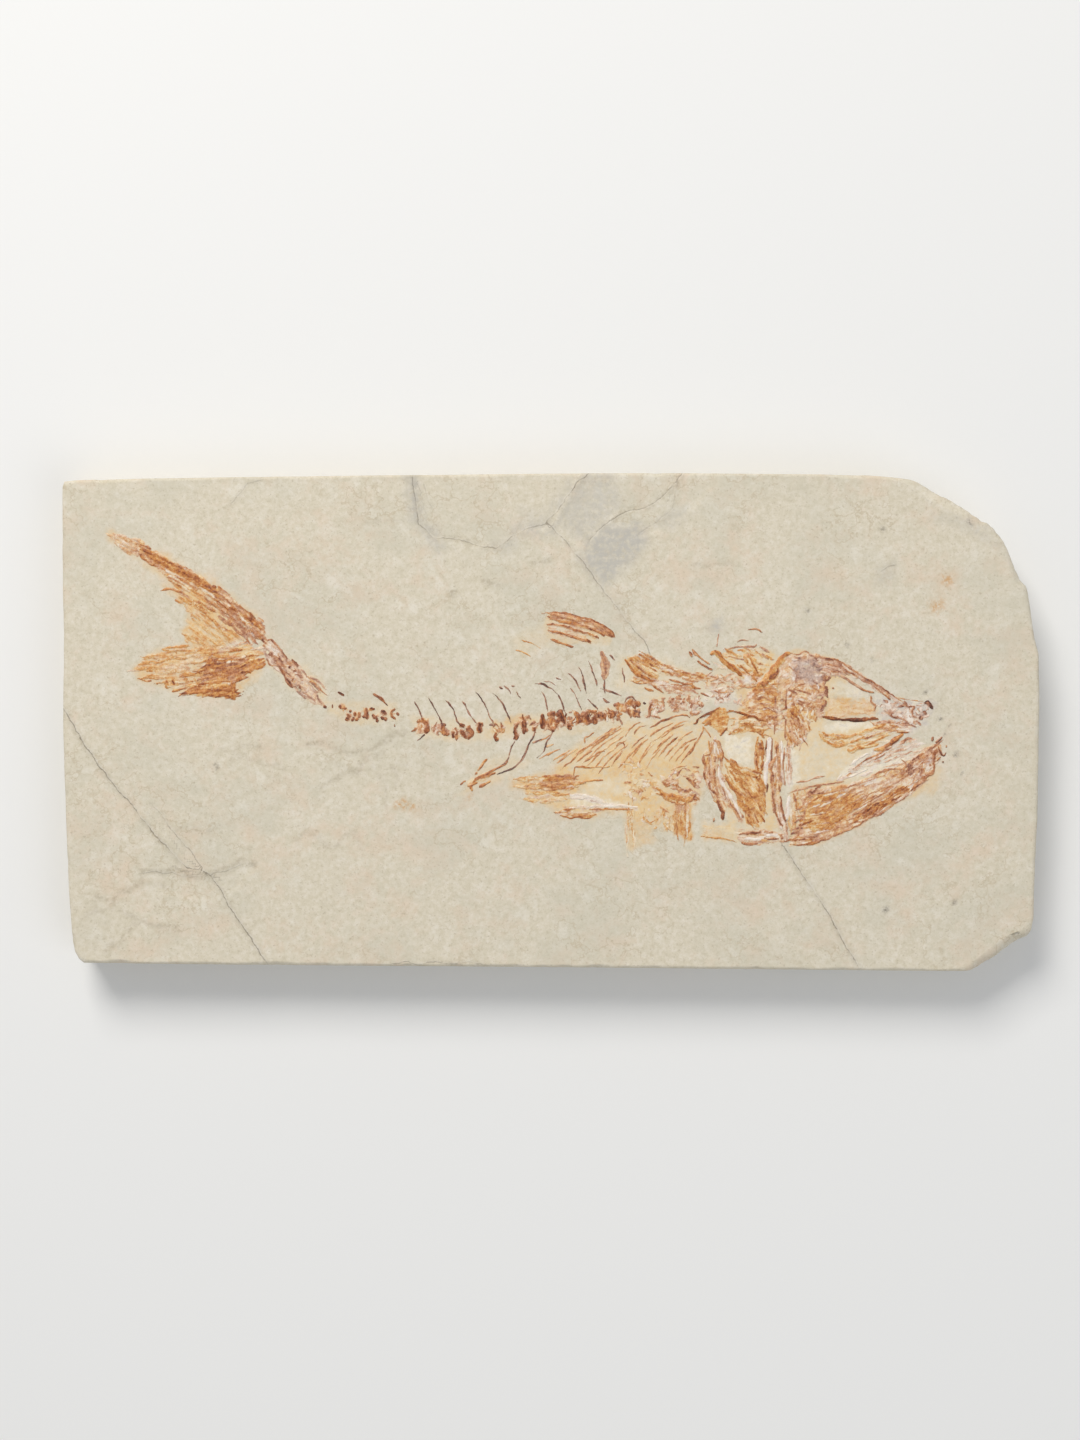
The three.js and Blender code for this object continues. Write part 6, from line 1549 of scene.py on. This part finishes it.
# The upper jaw: thin rays from under the eye to the snout, the maxilla the strongest

upperJaw = {
    "slot": "orange_bone", "nodes": ["upper_jaw"],
    "skins": [
        skin("55,-1.7 57,-2.7 61,-2.6 66,-1 70,0 71.4,-2 69.4,-4 66,-5 61,-6.2 60.4,-5 57.4,-4.8 55.4,-3.4",
         0.2, 0.2, 0.04, 0.08, rosy=-0.2, fibres=44, scatter=10, palePart=0.35, grain="55,-3.4 62,-4 70,-2"),
        skin("59,-11.8 62,-9 66,-6 70,-4.4 74,-3.4 76.4,-5 74,-7.4 71.6,-9 68,-9 64,-11", 0.24, 0.26, 0.03,
         0.11, rosy=0.9, bleach=0.35, rough=0.8, fibres=40, scatter=18, palePart=0.65,
         grain="58,-12 66,-7.4 76,-3.6"),
        skin("66,-0.6 69,0.6 72,-0.4 73,-2 71,-2.4 68,-1.6", 0.4, 0.26, 0.08, 0.07, rosy=0.5, fibres=16,
         scatter=25, grain="66,-1 73,-1.6"),
    ],
    "bones": [
        rods(0.75, 0.2, 0.44, """55.3,-1.9 57,-2.9 59,-3.2 61,-3 63.5,-2.2 66,-1.4 68.5,-0.5 | 54.8,-1.7 55.3,-3
         56.3,-4 58.5,-5 60,-4.6 62,-4 64,-3 | 64,-5 66,-4.2 68,-3.1 69,-2.2""", rosy=-0.5, rough=0.2),
        rods(0.9, 0.22, 0.44, "60.5,-5.5 61.5,-6 62.5,-5.3 65,-5 67,-4.5", rosy=-0.4),
        rods(1.1, 0.3, 0.52, "66,-5.7 68,-5.4 69.5,-4.3 71,-3.1 72,-2.4"),
        rods(0.4, 0.3, 0.84, "69.5,-4.9 70,-4.3 71.3,-3.3 | 70.8,-2.1 72.3,-2.2 73.1,-2.1"),
        rods(0.4, 0.2, 0.66, """61.5,-9.8 64,-8 66,-7 68,-6 70,-4.9 | 66,-7.7 67.5,-6.9 68.3,-6.4 | 63,-3.6
         65.4,-3 67.4,-2.2 | 66.6,-1.2 68.6,-1.4 70.4,-1 | 69.2,-0.7 69.8,-0.7""", rosy=0.5),
        rods(0.55, 0.18, 0.08, "61,-9 64,-6.8 65,-6.5 | 58.5,-11.8 59.5,-10.7", bleach=0.9),
    ],
    "stains": [
        stain("67.7,-5.6", 0.5, 0.8, 0.4, tone=0.42),
    ],
}

layBones("upper_jaw_rays", upperJaw, 3601)


# The snout: small crumbled bones, some bleached, with a dark hook at the tip

snoutBone = {
    "slot": "brown_bone", "nodes": ["snout_bone"], "rosy": 0.9,
    "skins": [
        skin("""66.6,3.6 68.6,4.6 71,4.4 73,3.8 75,3.6 76.4,4.4 78.2,3.6 77.4,1.6 75.6,0.2 74,-1.4 71.6,-0.6
         69.6,1.2 67.4,1.4""", 0.52, 0.36, 0.06, 0.1, bleach=0.8, rough=0.8, mottle=0.8, drift=0.3, fibres=46,
         fibreLength=0.6, scatter=80, palePart=0.45, grain="67,3 72,2 77,1.6"),
    ],
    "bones": [
        rods(0.5, 0.24, 0.72, """68,2.5 70,1 72,0.6 73,-0.3 73.5,-0.8 | 72.2,4.3 72.6,3.8 72.9,3.1 74.2,3.1
         73.8,2.2 74,1.3 74.7,0.8 | 76.2,2.2 76.7,1.5 | 70.6,-0.7 71,-0.7 | 70.6,1 71,1 | 71.3,1.8 71.7,1.8"""),
        rods(0.8, 0.28, 0.74, "75.5,0.5 75.8,1.3"),
        rods(0.65, 0.34, 0.95, "76.4,3.9 77,4 77.5,3.4 78,2.7"),
        rods(0.3, 0.14, 0.4, "70,5.2 73,4.5 76,4.2", rosy=0.3),
    ],
    "stains": [
        stain("76.5,3.1", 0.5, 0.9, 0.4, tone=0.05, bleach=1.0),
        stain("67.7,2.5", 0.4, 0.9, 0.4, tone=0.05, bleach=1.0),
        stain("69.5,3 71,2.4", 0.7, 0.7, 0.5, tone=0.2, bleach=0.6),
    ],
}

layBones("snout_fragments", snoutBone, 3701)


# The lower jaw: one long plate, fibrous along its length, dark along its outer edge

lowerJaw = {
    "slot": "orange_bone", "nodes": ["lower_jaw"], "rosy": 0.45, "step": 0.16,
    "skins": [
        skin("""48.4,-25.3 50,-25.4 53,-25.1 56,-24.4 59,-23.2 62,-21.9 64,-20.7 66,-19.4 67.5,-19 69,-18
         71,-16.7 73.5,-15 75.5,-13.5 77.2,-11.5 78.2,-10 78.7,-8.5 79.2,-7.3 80,-6.4 79.4,-4.4 77.5,-4.6
         75.5,-6.1 74,-7.3 72.5,-8 71,-9.3 69,-9.2 67.5,-9.7 65.5,-10.9 63.5,-11.7 61.5,-12.1 59.5,-12.9
         58,-13.1 53,-13.7 51,-15 51.4,-18 49.8,-22""", 0.36, 0.3, 0.12, 0.07, rosy=0.6, rough=0.4, mottle=0.5,
         drift=0.3, fibres=130, fibreLength=1.6, scatter=9, palePart=0.28,
         grain="49,-22 56,-20 63,-16.4 70,-12.4 77.5,-7"),
        skin("53,-15 58,-14.4 62,-15 63,-17.4 60,-20 56,-21.6 53,-22.6 51.6,-20", 0.44, 0.24, 0.13, 0.05,
         rosy=-0.5, rough=0.9, mottle=0.6, fibres=36, scatter=25, palePart=0.15,
         grain="51,-20 57,-18.6 63,-15.4"),
        skin("63,-20.4 67,-18.2 71,-15.6 73.4,-13.6 71.8,-13 68,-15.4 64,-17.8 61.6,-19.8", 0.57, 0.24,
         0.13, 0.05, rosy=-0.1, rough=0.7, fibres=30, palePart=0.15, grain="62,-20.6 68,-16.4 74,-12.8"),
        skin("72.6,-8.6 75.6,-6.4 78.6,-4.6 79,-7 77.4,-10.4 75.4,-12 73.4,-11", 0.54, 0.3, 0.13, 0.07,
         rosy=0.8, rough=0.7, mottle=0.6, fibres=36, fibreLength=0.8, scatter=40,
         grain="72.6,-10.6 76,-8 79,-5"),
    ],
    "bones": [
        rods(0.7, 0.26, 0.74, """79,-5.2 78.4,-6.8 78,-8 78.2,-9.2 77.9,-10.2 77,-11 75.8,-12.3 74.5,-13.2
         73,-14.5""", rosy=0.5, rough=0.3),
        rods(0.5, 0.22, 0.66, """48.8,-25 50.6,-25.1 53,-24.7 56,-24 59,-22.8 62,-21.5 64,-20.3 66,-19
         67.5,-18.7 69,-17.6 71,-16.3 73.2,-14.7 | 66,-10.7 67.5,-10.1 68.5,-9.7 70,-9.7 71.7,-9.9 72.3,-9.4
         72.4,-8.5 71.5,-7.8 | 50.4,-23.3 50.8,-23 | 66.2,-18.6 66.8,-18.4 | 67.1,-18.9 67.5,-18.9 | 77.3,-8.9
         77.5,-8.5""", rough=0.25),
        rods(0.4, 0.16, 0.56, """50,-12.4 52,-12.1 54,-11.5 56,-11 | 48,-14.6 49.5,-14.3 52,-13.5 55,-12.9
         58,-12.5 60,-12.2 | 52.4,-15 55,-14.6 58,-14.2 61,-13.4 | 60,-13.6 63,-12.6 66,-11.6 68.4,-10.8 |
         55,-16.4 58,-15.8 61,-14.8 | 61,-15.4 64,-14 67,-12.6 70,-11.4 | 56,-18.2 59,-17.4 62,-16.2 65,-14.8
         68,-13.4 | 53,-21.4 55,-20.8 57,-20.6 | 57.6,-20 60,-19 63,-17.4 66,-15.8 69,-14 | 54,-19 55.6,-18.8 |
         52,-23.4 55,-22.8 58,-21.8 61,-20.4 | 62,-19 65,-17 68,-15.2 71,-13 | 51.6,-20.4 52,-18 52.6,-16.2 |
         70,-12.8 72.4,-11.2 74.6,-9.6 | 71,-14.8 73,-13.2 75,-11.4 | 73.6,-8.4 75,-7.4 | 63.4,-19.2 66,-17.6 |
         68.4,-12 71,-10.6 | 50.6,-22 51.6,-20.6 | 58,-22.4 60.4,-21.4""", rosy=0.7),
        rods(0.5, 0.26, 0.8, """78,-3 77.9,-3.8 | 78.6,-4.3 79.3,-3.7 79.9,-3.1 | 80.7,-5 81,-5 | 79.1,-5
         79.6,-6 80.3,-6.9 80.9,-6.2 | 79.9,-8.2 80.2,-8.2 | 77.4,-5.6 78,-6.4""", rosy=0.7),
        rods(0.4, 0.16, 0.12, """56.8,-13.9 57.4,-13.8 | 58.4,-15.4 60.4,-14.6 | 64,-13 66.4,-12.2 | 62.6,-18
         64.6,-16.8 | 53.4,-17.4 55,-16.8 | 76.6,-9.6 77.2,-9.6 | 60.6,-11.4 63,-10.4 64.8,-9.6 | 69.4,-12
         70.6,-11.4""", bleach=0.8),
    ],
    "stains": [
        stain("58,-16 61,-16 61.4,-18.6 58.4,-19.4", 0, 0.8, 0.9, tone=0.44, rosy=0.0),
        stain("69.5,-16.7", 0.6, 0.8, 0.5, tone=0.56, rosy=0.1),
        stain("69.5,-10.5 71.5,-11", 0.5, 0.8, 0.4, tone=0.5, rosy=0.1),
        stain("71.5,-14.4 73,-14.2", 0.4, 0.8, 0.4, tone=0.6, rosy=0.0),
        stain("56,-18.2", 0.4, 0.6, 0.4, tone=0.72),
        stain("57,-20.6", 0.4, 0.6, 0.4, tone=0.72),
        stain("77.4,-5.8 77.6,-8", 0.6, 0.6, 0.5, tone=0.62, rosy=1.0),
        stain("77,-9.6", 0.4, 0.7, 0.3, tone=0.2, bleach=0.6),
        stain("66,-13 70,-12", 0.8, 0.5, 0.8, tone=0.3, rosy=0.8, bleach=0.2),
    ],
}

layBones("lower_jaw_plate", lowerJaw, 3801)
print("bones laid")


# Camera straight above the face, soft light from behind the fish's back, pale floor

studio = {
    "eye": (-2.2, 0.4, 512), "lens": 61.2,  # the camera's place in mm, looking straight down
    "lamps": {  # place in metres, size, power and colour
        "window light": ((-0.35, 0.75, 0.8), 0.5, 9.3, (1.0, 0.97, 0.93)),
        "fill light": ((0.6, -0.5, 0.9), 0.8, 2.5, (0.95, 0.97, 1.0)),
    },
    "floor": "#ECECEA", "sky": "#F2F4F8", "skyStrength": 0.465,
}


def addFloor():
    bpy.ops.mesh.primitive_plane_add(size=4, location=(0, 0, 0))
    floor = bpy.context.object
    floor.name = "pale_floor"
    made, _, shader = newMaterial("matt painted floor")
    shader.inputs["Base Color"].default_value = linear(studio["floor"])
    shader.inputs["Roughness"].default_value = 0.9
    floor.data.materials.append(made)


def addLamp(name, place, size, power, colour):
    lamp = bpy.data.lights.new(name, "AREA")
    lamp.size, lamp.energy, lamp.color = size, power, colour
    made = bpy.data.objects.new(name, lamp)
    made.location = place
    made.rotation_euler = (-made.location).to_track_quat("-Z", "Y").to_euler()
    bpy.context.scene.collection.objects.link(made)


def addStudio():
    scene = bpy.context.scene
    addFloor()
    for name, lamp in studio["lamps"].items():
        addLamp(name, *lamp)
    scene.world = bpy.data.worlds.new("studio")
    scene.world.use_nodes = True
    background = scene.world.node_tree.nodes["Background"]
    background.inputs["Color"].default_value = linear(studio["sky"])
    background.inputs["Strength"].default_value = studio["skyStrength"]
    camera = bpy.data.objects.new("camera", bpy.data.cameras.new("camera"))
    camera.data.lens = studio["lens"]
    camera.data.sensor_width = 36
    camera.location = Vector(studio["eye"]) * metre
    camera.data.clip_start, camera.data.clip_end = 0.01, 20
    scene.collection.objects.link(camera)
    scene.camera = camera
    scene.view_settings.view_transform = "Standard"


addStudio()
print("faces in the bones", sum(len(bone.data.polygons) for bone in bones))
